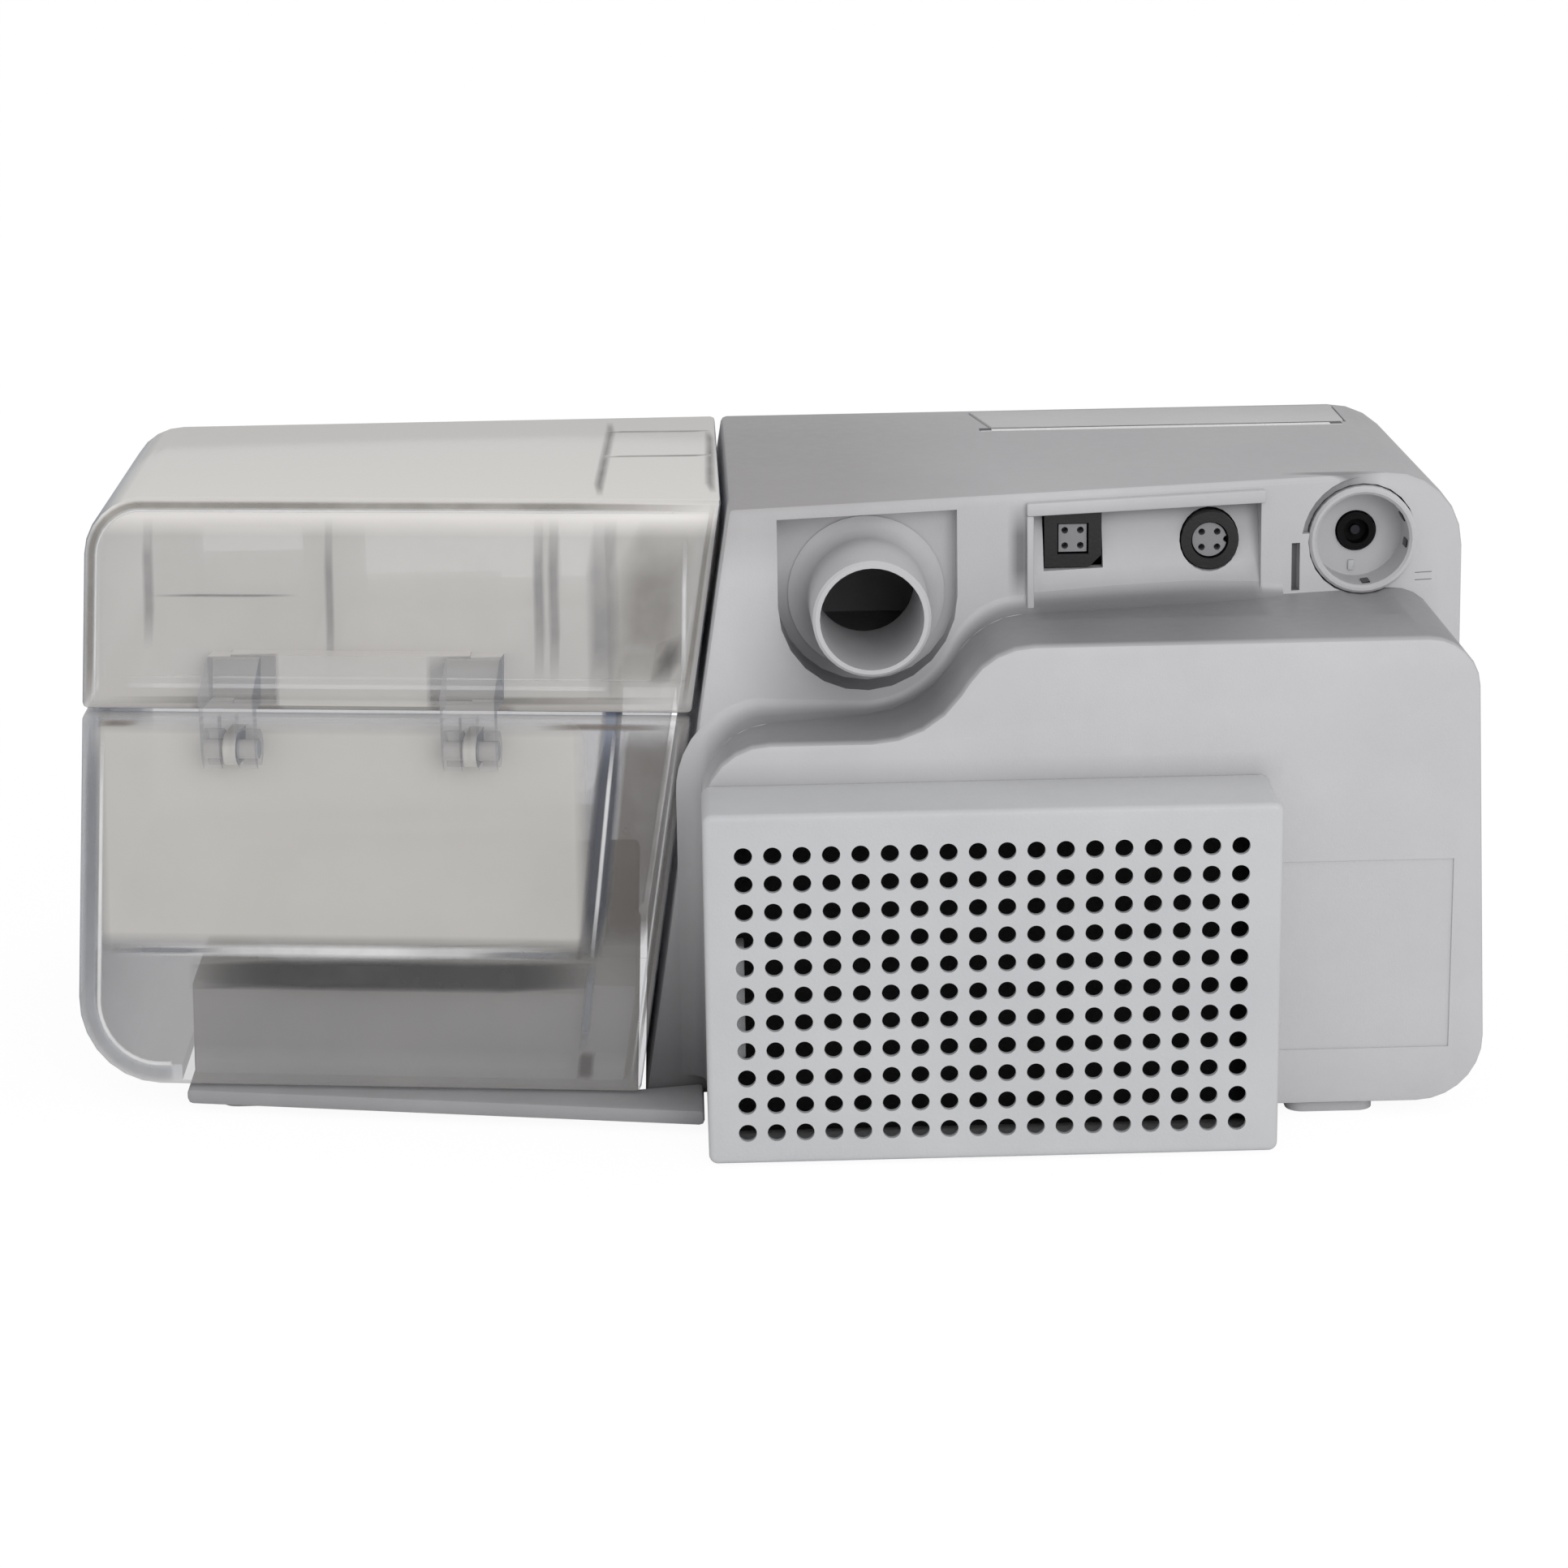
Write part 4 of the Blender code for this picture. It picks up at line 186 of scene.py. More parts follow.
def inside_box(tree, place, low, high, soft):
    """A mask for a box. Its soft edge is one width, or one for each axis."""
    wide = soft if isinstance(soft, tuple) else (soft, soft, soft)
    mask = within(tree, place, 0, low[0], high[0], wide[0])
    for axis in (1, 2):
        mask = times(tree, mask, within(tree, place, axis, low[axis], high[axis], wide[axis]))
    return mask


# Kinds of finish

COLOUR_DRIFT, GLOSS_DRIFT, CLOUD_DRIFT = 38, 420, 30
CLEAR_GRAIN, CLEAR_GRAIN_DEPTH, CLEAR_INDEX = 900, 0.00002, 1.45


def plastic(name, low, high, rough, grain=2600, depth=0.00003, metallic=0.0, specular=0.5):
    """A moulded or metal surface: a faint drift between two colours, a drift of gloss and a fine grain."""
    made, tree = fresh(name)
    place = coordinates(tree, "Object")
    shader = add(tree, "ShaderNodeBsdfPrincipled")
    shader.inputs["Metallic"].default_value = metallic
    shader.inputs["Specular IOR Level"].default_value = specular
    colour = tint(tree, spread(tree, noise(tree, place, COLOUR_DRIFT, 4), 0, 1), low, high)
    tree.links.new(colour, shader.inputs["Base Color"])
    gloss = spread(tree, noise(tree, place, GLOSS_DRIFT, 4), rough - 0.05, rough + 0.06)
    tree.links.new(gloss, shader.inputs["Roughness"])
    tree.links.new(bump(tree, noise(tree, place, grain, 2, 0.5), depth), shader.inputs["Normal"])
    shown(tree, shader.outputs["BSDF"])
    return made


def shaded(made, shades, ledges):
    """Painted shade on a plastic, as darker colour in boxes. A shade is on every face in its box, and a ledge
    only on those that look up.

    Each is a lowest corner, a highest corner, the width of its fading edge, its strength and its colour.
    """
    tree = made.node_tree
    shader = next(node for node in tree.nodes if node.type == "BSDF_PRINCIPLED")
    place = coordinates(tree, "Object")
    colour = shader.inputs["Base Color"].links[0].from_socket
    for low, high, soft, strength, dark in shades.values():
        mask = inside_box(tree, place, low, high, soft)
        colour = tint(tree, times(tree, mask, strength), colour, dark)
    for low, high, soft, strength, dark in ledges.values():
        upward = mapped(tree, axis_of(tree, coordinates(tree, "Normal"), 2), 0.2, 0.8)
        mask = times(tree, inside_box(tree, place, low, high, soft), upward)
        colour = tint(tree, times(tree, mask, strength), colour, dark)
    tree.links.new(colour, shader.inputs["Base Color"])
    return made


def frosted(name, colour, edge_colour, milk, panels, rough, absorb, density):
    """See-through plastic: milky panels, and walls that face sideways painted bluish grey, the look of clear
    walls seen edge on, partly their own tint and partly painted reflection.

    Each panel is a lowest corner, a highest corner, the milk that it adds and the width of its fading edge.
    """
    made, tree = fresh(name)
    place = coordinates(tree, "Object")
    shader = add(tree, "ShaderNodeBsdfPrincipled")
    shader.inputs["Roughness"].default_value = rough
    shader.inputs["IOR"].default_value = CLEAR_INDEX
    grain = bump(tree, noise(tree, place, CLEAR_GRAIN, 3), CLEAR_GRAIN_DEPTH)
    tree.links.new(grain, shader.inputs["Normal"])
    # Walls that face sideways turn bluish grey: the plastic's own tint seen edge on, with painted reflection
    sideways = add(tree, "ShaderNodeMath", operation="ABSOLUTE")
    tree.links.new(axis_of(tree, coordinates(tree, "Normal"), 0), sideways.inputs[0])
    walls_colour = tint(tree, spread(tree, sideways.outputs[0], 0, 1), colour, edge_colour)
    tree.links.new(walls_colour, shader.inputs["Base Color"])
    cloud = spread(tree, noise(tree, place, CLOUD_DRIFT, 3), milk - 0.03, milk + 0.03)
    for low, high, more, soft in panels:
        cloud = plus(tree, cloud, times(tree, inside_box(tree, place, low, high, soft), more))
    edge = add(tree, "ShaderNodeLayerWeight")
    edge.inputs["Blend"].default_value = 0.25
    cloud = plus(tree, cloud, times(tree, edge.outputs["Facing"], 0.5))
    glass = add(tree, "ShaderNodeBsdfTransparent")
    glass.inputs["Color"].default_value = linear(250, 250, 251)
    out = shown(tree, mixed(tree, cloud, glass.outputs["BSDF"], shader.outputs["BSDF"]))
    inner = add(tree, "ShaderNodeVolumeAbsorption")
    inner.inputs["Color"].default_value = absorb
    inner.inputs["Density"].default_value = density
    tree.links.new(inner.outputs["Volume"], out.inputs["Volume"])
    return made


def tint_and_painted_light(name, colour, cover):
    """A thin see-through sheet, which carries tints for wall edges seen through clear plastic, painted shade
    and painted highlights. It vanishes where fade is 0.
    """
    made, tree = fresh(name)
    place = coordinates(tree, "Object")
    shader = add(tree, "ShaderNodeBsdfPrincipled")
    shader.inputs["Roughness"].default_value = 0.25
    darker = tuple(level * 0.86 for level in colour[:3]) + (1.0,)
    drift = spread(tree, noise(tree, place, 60, 4), 0, 1)
    tree.links.new(tint(tree, drift, darker, colour), shader.inputs["Base Color"])
    glass = add(tree, "ShaderNodeBsdfTransparent")
    patches = spread(tree, noise(tree, place, 90, 3), cover - 0.12, cover + 0.12)
    fade = add(tree, "ShaderNodeAttribute", attribute_name="fade").outputs["Fac"]
    shown(tree, mixed(tree, times(tree, patches, fade), glass.outputs["BSDF"], shader.outputs["BSDF"]))
    return made


# Finishes of the casing and its fittings, with painted shade on the shell and on the base

SHELL_LOW, SHELL_HIGH, SHELL_ROUGH = linear(203, 202, 205), linear(209, 208, 210), 0.5
# Painted shade: the channel, the pockets, the power inlet's slot and arch, under the lip, above the grille,
# the upper left
SHELL_SHADES = {
    "channel beside the tank": (
        (-0.06, -0.0465, -0.05), (-0.011, 0.06, 0.045), (0.004, 0.004, 0.07), 0.9, linear(104, 102, 104)),
    "left wall of the outlet pocket": (
        (-0.01, -0.033, 0.06), (0.018, -0.018, 0.09), (0.03, 0.004, 0.02), 0.7, linear(112, 111, 115)),
    "block above the grille": (
        (-0.0125, -0.06, 0.064), (0.09, -0.05, 0.068), (0.006, 0.002, 0.004), 0.3, linear(140, 139, 142)),
    "beside the connector pocket's rim": (
        (0.0458, -0.06, 0.0945), (0.0487, -0.015, 0.107), (0.002, 0.002, 0.006), 0.85, linear(112, 111, 115)),
    "under the lip": (
        (0.05, -0.027, 0.1064), (0.0925, -0.005, 0.109), (0.001, 0.001, 0.002), 0.5, linear(120, 119, 122)),
    "slot beside the power inlet": (
        (0.099, -0.0146, 0.0895), (0.1003, -0.005, 0.1002), (0.0004, 0.0006, 0.001), 0.9, linear(96, 95, 98)),
    "arch over the power inlet": (
        (0.1, -0.0131, 0.0995), (0.113, -0.011, 0.1125), (0.006, 0.0004, 0.002), 0.75, linear(118, 117, 120)),
    "floor of the connector pocket": (
        (0.05, -0.033, 0.086), (0.0925, -0.01, 0.0935), (0.002, 0.002, 0.006), 0.45, linear(124, 123, 127)),
    "upper left of the shell": (
        (-0.04, -0.12, 0.103), (0.03, 0.06, 0.12), (0.03, 0.05, 0.008), 0.2, linear(104, 97, 95)),
}
# Painted shade on faces that look up: the block's top and the casing's top
SHELL_LEDGES = {
    "top of the block": (
        (-0.0125, -0.052, 0.06), (0.15, -0.005, 0.093), 0.003, 0.72, linear(134, 133, 137)),
    "top of the block under the connectors": (
        (0.045, -0.052, 0.085), (0.085, -0.005, 0.093), (0.02, 0.003, 0.003), 0.45, linear(104, 103, 107)),
    "top of the block under the outlet": (
        (-0.006, -0.052, 0.06), (0.04, -0.005, 0.093), (0.012, 0.003, 0.01), 0.35, linear(112, 111, 115)),
    "top of the casing": (
        (-0.05, -0.06, 0.1), (0.15, 0.09, 0.12), 0.004, 0.2, linear(104, 97, 96)),
    "top of the casing at its left": (
        (-0.05, -0.06, 0.1), (0.015, 0.09, 0.12), (0.05, 0.004, 0.004), 0.1, linear(104, 97, 95)),
}
# Painted shade on all of the base's finish above its band
BASE_SHADES = {
    "all that stands above the base's band": (
        (-0.2, -0.1, 0.0085), (0.2, 0.1, 0.1), 0.003, 0.85, linear(126, 124, 129)),
}

CASING = plastic("casing_plastic", SHELL_LOW, SHELL_HIGH, SHELL_ROUGH)
CASE_SHELL = shaded(plastic("shell_plastic", SHELL_LOW, SHELL_HIGH, SHELL_ROUGH), SHELL_SHADES, SHELL_LEDGES)
BAR_GREY = plastic("bar_plastic", linear(206, 205, 206), linear(212, 211, 212), 0.45)
GRILLE = plastic("grille_plastic", linear(204, 205, 208), linear(211, 212, 214), 0.46, 1900, 0.00005)
CONTROL = plastic("control_plastic", linear(186, 186, 190), linear(193, 193, 196), 0.42)
# The base's own grey, with painted shade above its band
DARK_BASE = shaded(plastic("base_plastic", linear(160, 160, 162), linear(170, 169, 172), 0.5),
                   BASE_SHADES, {})
BLACK = plastic("black_plastic", linear(20, 20, 23), linear(28, 28, 31), 0.35, 1800)
PIN_GREY = plastic("socket_grey", linear(150, 150, 154), linear(162, 162, 165), 0.5)
CORE_BLACK = plastic("core_black", linear(8, 8, 10), linear(14, 14, 17), 0.7, 1800, specular=0.2)
RUBBER = plastic("rubber", linear(38, 38, 40), linear(46, 46, 48), 0.8, 1500, 0.00006)
SILICONE = plastic("silicone", linear(150, 140, 130), linear(165, 156, 146), 0.55, 1400)
FOAM = plastic("foam", linear(14, 14, 15), linear(24, 24, 25), 0.95, 700, 0.0004)
STEEL = plastic("steel", linear(190, 190, 192), linear(205, 205, 207), 0.28, 1500, 0.00001, 1.0)
PIN_DARK = plastic("pin_steel", linear(34, 34, 40), linear(44, 44, 50), 0.4, 1500, 0.00001, 0.6)
ALUMINIUM = plastic("aluminium", linear(205, 206, 208), linear(216, 217, 219), 0.34, 1500, 0.00001, 1.0)
COPPER = plastic("copper_film", linear(188, 118, 58), linear(202, 132, 70), 0.4, 1500)
BOARD = plastic("board_green", linear(20, 92, 56), linear(28, 108, 66), 0.45, 1500)
GLASS_BLACK = plastic("glass_black", linear(10, 10, 12), linear(14, 14, 16), 0.1, 300, 0.0)
SCREEN = plastic("screen", linear(28, 44, 60), linear(34, 52, 70), 0.25, 1500)
FOOT_GREY = plastic("foot_grey", linear(186, 186, 189), linear(196, 196, 199), 0.7, 1500, 0.00006)
GROOVE_GREY = plastic("groove_grey", linear(120, 119, 122), linear(130, 129, 132), 0.6, 1500)
# Painted shadow for the start bar's gap and end notches, and a painted highlight for its lit edge
GAP_PAINTED_SHADOW = plastic("gap_shadow_painted", linear(92, 91, 94), linear(104, 103, 106), 0.6, 1500)
PAINTED_EDGE_HIGHLIGHT = plastic("painted_edge_highlight", linear(250, 250, 251), linear(253, 253, 253), 0.25, 1500)
EDGE_CLEAR = plastic("edge_clear", linear(176, 176, 178), linear(190, 190, 192), 0.3, 900, 0.00001)

# Finishes of the humidifier. The lid is clearer in its hooks and in the straps above them. Each hook is its
# left and right x, and the y that its strap reaches back to

# The bluish grey of clear walls seen edge on: their own tint with painted reflection
BLUISH = linear(150, 157, 168)
HOOK_SPANS = ((-0.106, -0.090, -0.0236), (-0.062, -0.047, -0.0287))
LID_PANELS = [
    ((-0.2, -0.1, 0.107), (0.0, 0.1, 0.12), 0.5, 0.004),
    ((-0.126, -0.06, 0.0745), (-0.008, -0.01, 0.110), 0.20, 0.002),
    *[((left, -0.06, 0.058), (right, -0.02, 0.0745), -0.30, 0.002) for left, right, back in HOOK_SPANS],
    *[((left, -0.06, 0.0745), (right, back, 0.092), -0.36, 0.001) for left, right, back in HOOK_SPANS],
]
TANK_PANELS = [((-0.1245, -0.06, 0.0315), (-0.0345, 0.0, 0.0705), 0.52, 0.003)]

LID_CLEAR = frosted("lid_clear", linear(240, 237, 233), BLUISH, 0.34, LID_PANELS,
                    0.2, linear(186, 196, 212), 20)
TANK_CLEAR = frosted("tank_clear", linear(224, 221, 216), BLUISH, 0.22, TANK_PANELS,
                     0.2, linear(170, 184, 206), 30)
INSERT_CLEAR = frosted("insert_clear", linear(216, 213, 208), BLUISH, 0.30, [],
                       0.3, linear(186, 194, 206), 40)
# Edge sheets: walls seen edge on, partly their own tint and partly painted refraction. Seal sheet: the seal's
# own colour.
# White and glint sheets are painted highlights; the shade, skirt and room sheets are painted shade.
EDGE_BLUE = tint_and_painted_light("edge_blue", linear(150, 152, 158), 0.62)
EDGE_FAINT = tint_and_painted_light("edge_faint", linear(156, 156, 159), 0.34)
EDGE_BROWN = tint_and_painted_light("edge_brown", linear(152, 148, 143), 0.55)
PAINTED_HIGHLIGHT = tint_and_painted_light("painted_highlight", linear(246, 246, 247), 0.85)
GLINT_FAINT = tint_and_painted_light("glint_faint", linear(236, 236, 238), 0.5)
SHADE_LIGHT = tint_and_painted_light("shade_light", linear(150, 146, 142), 0.4)
SHADE_DEEP = tint_and_painted_light("shade_deep", linear(112, 109, 108), 0.55)
SKIRT_SHADE = tint_and_painted_light("skirt_shade", linear(84, 83, 84), 0.88)
PARTITION_BLUE = tint_and_painted_light("partition_blue", linear(94, 96, 105), 0.86)
ROOM_SHADE = tint_and_painted_light("room_shade", linear(126, 120, 116), 0.55)
SEAL_BROWN = tint_and_painted_light("seal_brown", linear(140, 130, 121), 0.6)


def numbered(name, count):
    return [f"{name}_{index + 1}" for index in range(count)]


FINISHES = {
    CASE_SHELL: ["main_casing"],
    CASING: ["front_panel", "base_plate", "outlet_pipe", "power_inlet_ring"],
    GRILLE: ["filter_cover"],
    BAR_GREY: ["start_bar"],
    CONTROL: ["home_button", "ramp_button", "control_knob"],
    DARK_BASE: ["humidifier_base", "heater_cover", "blower_base", "blower_cover", "return_duct",
                "supply_duct"],
    BLACK: ["square_socket", "round_socket", "blower_impeller", "home_button_switch", "ramp_button_switch"],
    PIN_GREY: ["square_socket_insert", "round_socket_insert"],
    RUBBER: numbered("blower_pad", 3),
    FOOT_GREY: numbered("foot", 4) + numbered("humidifier_foot", 4),
    SILICONE: ["lid_seal", "return_port_seal", "supply_port_seal"],
    FOAM: ["filter_pad"],
    STEEL: numbered("base_screw", 4) + ["blower_motor", "blower_shaft", "knob_encoder", "tank_heat_plate"],
    PIN_DARK: ["power_inlet_pin"],
    CORE_BLACK: ["power_inlet_core"],
    ALUMINIUM: ["heater_plate"],
    COPPER: ["heater_film"],
    BOARD: ["main_board", "front_board", "bar_switch_board"],
    GLASS_BLACK: ["display_lens"],
    SCREEN: ["lcd_panel"],
    LID_CLEAR: ["humidifier_lid", "lid_latch"],
    TANK_CLEAR: ["water_tank"],
    INSERT_CLEAR: ["lid_insert", "lid_air_duct"],
}


# Shading of the solids

WELD_GAP = 0.000002
SHARP_ANGLE = math.radians(31)


def smooth_group():
    """Welds a solid's faces and rounds the shading between faces that meet at a small angle."""
    group = bpy.data.node_groups.new("smooth_small_angles", "GeometryNodeTree")
    for way in ("INPUT", "OUTPUT"):
        group.interface.new_socket("Geometry", in_out=way, socket_type="NodeSocketGeometry")
    start = add(group, "NodeGroupInput")
    end = add(group, "NodeGroupOutput")
    plain = add(group, "GeometryNodeRemoveAttribute")
    plain.inputs["Name"].default_value = "custom_normal"
    weld = add(group, "GeometryNodeMergeByDistance")
    weld.inputs["Distance"].default_value = WELD_GAP
    faces = add(group, "GeometryNodeSetShadeSmooth", domain="FACE")
    edges = add(group, "GeometryNodeSetShadeSmooth", domain="EDGE")
    edges.inputs["Shade Smooth"].default_value = False
    steps = (start, plain, weld, faces, edges, end)
    for before, after in zip(steps, steps[1:]):
        group.links.new(before.outputs[0], after.inputs[0])
    angle = add(group, "GeometryNodeInputMeshEdgeAngle")
    sharp = add(group, "FunctionNodeCompare", data_type="FLOAT", operation="GREATER_THAN")
    sharp.inputs["B"].default_value = SHARP_ANGLE
    group.links.new(angle.outputs["Unsigned Angle"], sharp.inputs["A"])
    group.links.new(sharp.outputs["Result"], edges.inputs["Selection"])
    return group


SMOOTH = smooth_group()


def dress():
    """Gives each solid its finish and its smooth shading."""
    for finish, names in FINISHES.items():
        for name in names:
            node = NODES[name]
            node.data.materials.clear()
            node.data.materials.append(finish)
            node.modifiers.new("smooth", "NODES").node_group = SMOOTH


# Mesh helpers

def piece(name, points, faces, finish, body, edge=0.0, fades=None):
    """A closed piece made of points and faces, which moves with a body. A fade of 0 makes a see-through sheet
    vanish.
    """
    mesh = bpy.data.meshes.new(name)
    mesh.from_pydata([tuple(point) for point in points], [], faces)
    if fades:
        mesh.attributes.new("fade", "FLOAT", "POINT").data.foreach_set("value", fades)
    work = bmesh.new()
    work.from_mesh(mesh)
    bmesh.ops.remove_doubles(work, verts=work.verts, dist=0.000001)
    bmesh.ops.recalc_face_normals(work, faces=work.faces)
    work.to_mesh(mesh)
    work.free()
    made = bpy.data.objects.new(name, mesh)
    bpy.context.scene.collection.objects.link(made)
    mesh.materials.append(finish)
    if edge:
        soft = made.modifiers.new("edges", "BEVEL")
        soft.width = edge
        soft.segments = 2
        soft.limit_method = "ANGLE"
    made.modifiers.new("smooth", "NODES").node_group = SMOOTH
    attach(made, body)
    return made


def walls(points, count):
    """Faces between rings of as many points each, which follow one another in one list."""
    faces = []
    for start in range(0, len(points) - count, count):
        for k in range(count):
            after = (k + 1) % count
            faces.append((start + k, start + after, start + count + after, start + count + k))
    return faces


def lofted(name, rings, finish, body, edge=0.0, fades=None):
    """Rings of as many points each, joined in a row and closed at both ends."""
    count = len(rings[0])
    points = [point for ring in rings for point in ring]
    ends = [tuple(range(count)), tuple(range(len(points) - count, len(points)))]
    return piece(name, points, ends + walls(points, count), finish, body, edge, fades)


def block(name, low, high, finish, body, edge=0.0):
    """A straight block between its lowest and its highest corner."""
    ring = [(low[0], low[2]), (high[0], low[2]), (high[0], high[2]), (low[0], high[2])]
    return lofted(name, [[(x, y, z) for x, z in ring] for y in (low[1], high[1])], finish, body, edge)


def rounded(corners, steps=7):
    """A line through corners (a, b, radius), with its inner corners rounded."""
    points = [Vector(corners[0][:2])]
    for before, here, after in zip(corners, corners[1:], corners[2:]):
        corner = Vector(here[:2])
        back = (Vector(before[:2]) - corner).normalized()
        ahead = (Vector(after[:2]) - corner).normalized()
        half = back.angle(ahead) / 2
        middle = corner + (back + ahead).normalized() * here[2] / math.sin(half)
        reach = here[2] / math.tan(half)
        first, last = corner + back * reach - middle, corner + ahead * reach - middle
        for step in range(steps + 1):
            points.append(middle + first.lerp(last, step / steps).normalized() * here[2])
    points.append(Vector(corners[-1][:2]))
    return points


def along(table, value):
    """A value read from a short table of (place, value) pairs, straight between them."""
    for (x0, y0), (x1, y1) in zip(table, table[1:]):
        if value <= x1:
            return y0 + (y1 - y0) * max(0.0, (value - x0) / (x1 - x0))
    return table[-1][1]


def heading(line, index):
    """The way a line runs at one of its points."""
    return line[min(index + 1, len(line) - 1)] - line[max(index - 1, 0)]


# Main unit: its rear face leans and turns, and a hollow joins it to the step along the block's top line

REAR_Y, REAR_TURN, REAR_LEAN = -0.0371, 0.18, 0.04
BLOCK_LINE = [
    (-0.0125, 0.006, 0), (-0.0125, 0.0729, 0.0125), (0.02855, 0.0729, 0.019),
    (0.03985, 0.0900, 0.014), (0.0488, 0.0900, 0),
]
COVE_RADII = [
    (-0.012, 0.0045), (-0.002, 0.0042), (0.006, 0.0022), (0.034, 0.0020), (0.041, 0.0030),
    (0.050, 0.0030), (0.060, 0.0034), (0.090, 0.0034), (0.0935, 0.0022), (0.098, 0.0018),
]
COVE_PLACES = (0.0495, 0.0498, 0.0502, 0.0650, 0.0800, 0.0925, 0.0929, 0.0932, 0.0972)
COVE_DROP = 0.0003
COVE_SINK = 0.0004
COVE_STEPS = 6
HOOD_LEFT, HOOD_RIGHT, HOOD_LOW, HOOD_HIGH = 0.04975, 0.09295, 0.0905, 0.1077
HOOD_FOOT, FLOOR_LEAN = 0.0903, 0.345
LIP_TALL, LIP_OUT, RIM_OUT, RIM_WIDE = 0.0024, 0.0016, 0.00128, 0.0013


def rear_y(x, z):
    return REAR_Y + REAR_TURN * x + REAR_LEAN * z


def foot_y(x, z):
    """The face that the hollow runs up: the rear face, or the leaning floor of the connector pocket."""
    return rear_y(x, z) + (FLOOR_LEAN * max(0.0, z - HOOD_FOOT) if HOOD_LEFT <= x <= HOOD_RIGHT else 0.0)


def cove_ring(point, out, radius):
    """One section of the hollow: an arc from the rear face to the step, closed behind."""
    ring = []
    for step in range(COVE_STEPS + 1):
        turn = math.pi / 2 * step / COVE_STEPS
        away = point + out * radius * (1 - math.sin(turn))
        ring.append((away.x, foot_y(away.x, away.y) - radius * (1 - math.cos(turn)), away.y))
    sunk = point - out * COVE_SINK
    ring.append((sunk.x, rear_y(sunk.x, sunk.y) - radius, sunk.y))
    ring.append((sunk.x, rear_y(sunk.x, sunk.y) + COVE_SINK, sunk.y))
    lip = point + out * radius
    ring.append((lip.x, foot_y(lip.x, lip.y) + COVE_SINK, lip.y))
    return ring


def cove():
    """The hollow that joins the rear face to the step along the block's top line."""
    line = rounded(BLOCK_LINE, 10) + [Vector((x, HOOD_FOOT - COVE_DROP)) for x in COVE_PLACES]
    rings = []
    for index, point in enumerate(line):
        ahead = heading(line, index)
        out = Vector((-ahead.y, ahead.x)).normalized()
        rings.append(cove_ring(point, out, along(COVE_RADII, point.x)))
    lofted("cove", rings, CASE_SHELL, "main_unit")


def leaning_bar(name, left, low, right, high, out, finish):
    """A flat bar on the leaning rear face, which stands out from it by a set height."""
    rings = []
    for x in (left, right):
        rings.append([(x, rear_y(x, low) + COVE_SINK, low), (x, rear_y(x, low) - out, low),
                      (x, rear_y(x, high) - out, high), (x, rear_y(x, high) + COVE_SINK, high)])
    return lofted(name, rings, finish, "main_unit", 0.0003)


def hood():
    """The raised lip over the connector pocket and the rim at its left."""
    left, right = HOOD_LEFT - RIM_WIDE, HOOD_RIGHT + RIM_WIDE / 2
    leaning_bar("hood_lip", left, HOOD_HIGH, right, HOOD_HIGH + LIP_TALL, LIP_OUT, CASING)
    leaning_bar("hood_rim", left, HOOD_LOW, HOOD_LEFT, HOOD_HIGH, RIM_OUT, CASING)


# Start bar: strips of painted shadow and painted highlight along its near side, each with its reach in front
# of that side and its height

CASE_TOP, TOP_SINK = 0.112, 0.0002
BAR_LEFT, BAR_RIGHT, BAR_NEAR = 0.0448, 0.1168, 0.0399
GAP_REACH, GAP_PROUD = (0.0008, 0.0), 0.00003
LIT_REACH, LIT_PROUD = (0.0030, 0.0009), 0.00004
NOTCH_SHADOW_REACH, NOTCH_SHADOW_PROUD, NOTCH_SHADOW_HALF = (0.0026, 0.0004), 0.00006, 0.0012
NOTCH_SHADOW_PLACES = {"left": BAR_LEFT + 0.0010, "right": BAR_RIGHT - 0.0012}


def bar_strip(name, left, right, reach, proud, finish):
    block(name, (left, BAR_NEAR - reach[0], CASE_TOP - TOP_SINK),
          (right, BAR_NEAR - reach[1], CASE_TOP + proud), finish, "main_unit")


def bar_line():
    """A painted highlight on the lit edge and a painted shadow for the gap along the start bar's near side,
    with a notch of painted shadow at each end.
    """
    bar_strip("bar_gap_painted_shadow", BAR_LEFT, BAR_RIGHT, GAP_REACH, GAP_PROUD, GAP_PAINTED_SHADOW)
    bar_strip("bar_edge_highlight_painted", BAR_LEFT, BAR_RIGHT, LIT_REACH, LIT_PROUD, PAINTED_EDGE_HIGHLIGHT)
    for side, x in NOTCH_SHADOW_PLACES.items():
        bar_strip(f"bar_notch_painted_shadow_{side}", x - NOTCH_SHADOW_HALF, x + NOTCH_SHADOW_HALF, NOTCH_SHADOW_REACH, NOTCH_SHADOW_PROUD, GAP_PAINTED_SHADOW)


# Power inlet, with painted shade in its contact slots

JACK_X, JACK_Z, JACK_WELL = 0.11255, 0.0995, 0.0087
SLOT_SHADE_TURNS = (-1.45, -0.15, 0.45)
SLOT_SHADE_HALF, SLOT_SHADE_LONG, SLOT_SHADE_Y = 0.0007, 0.0032, -0.0122
SLOT_SHADE_IN, SLOT_SHADE_OUT = -0.0003, 0.0002
POST_LEFT, POST_RIGHT, POST_LOW, POST_HIGH = 0.0014, 0.0002, 0.0076, 0.0056
POST_FRONT, POST_BACK = -0.0056, -0.0048
GROOVE_HEIGHTS = (0.0925, 0.0911)
GROOVE_LEFT, GROOVE_RIGHT, GROOVE_HALF, GROOVE_PROUD = 0.1228, 0.1262, 0.00012, 0.00004


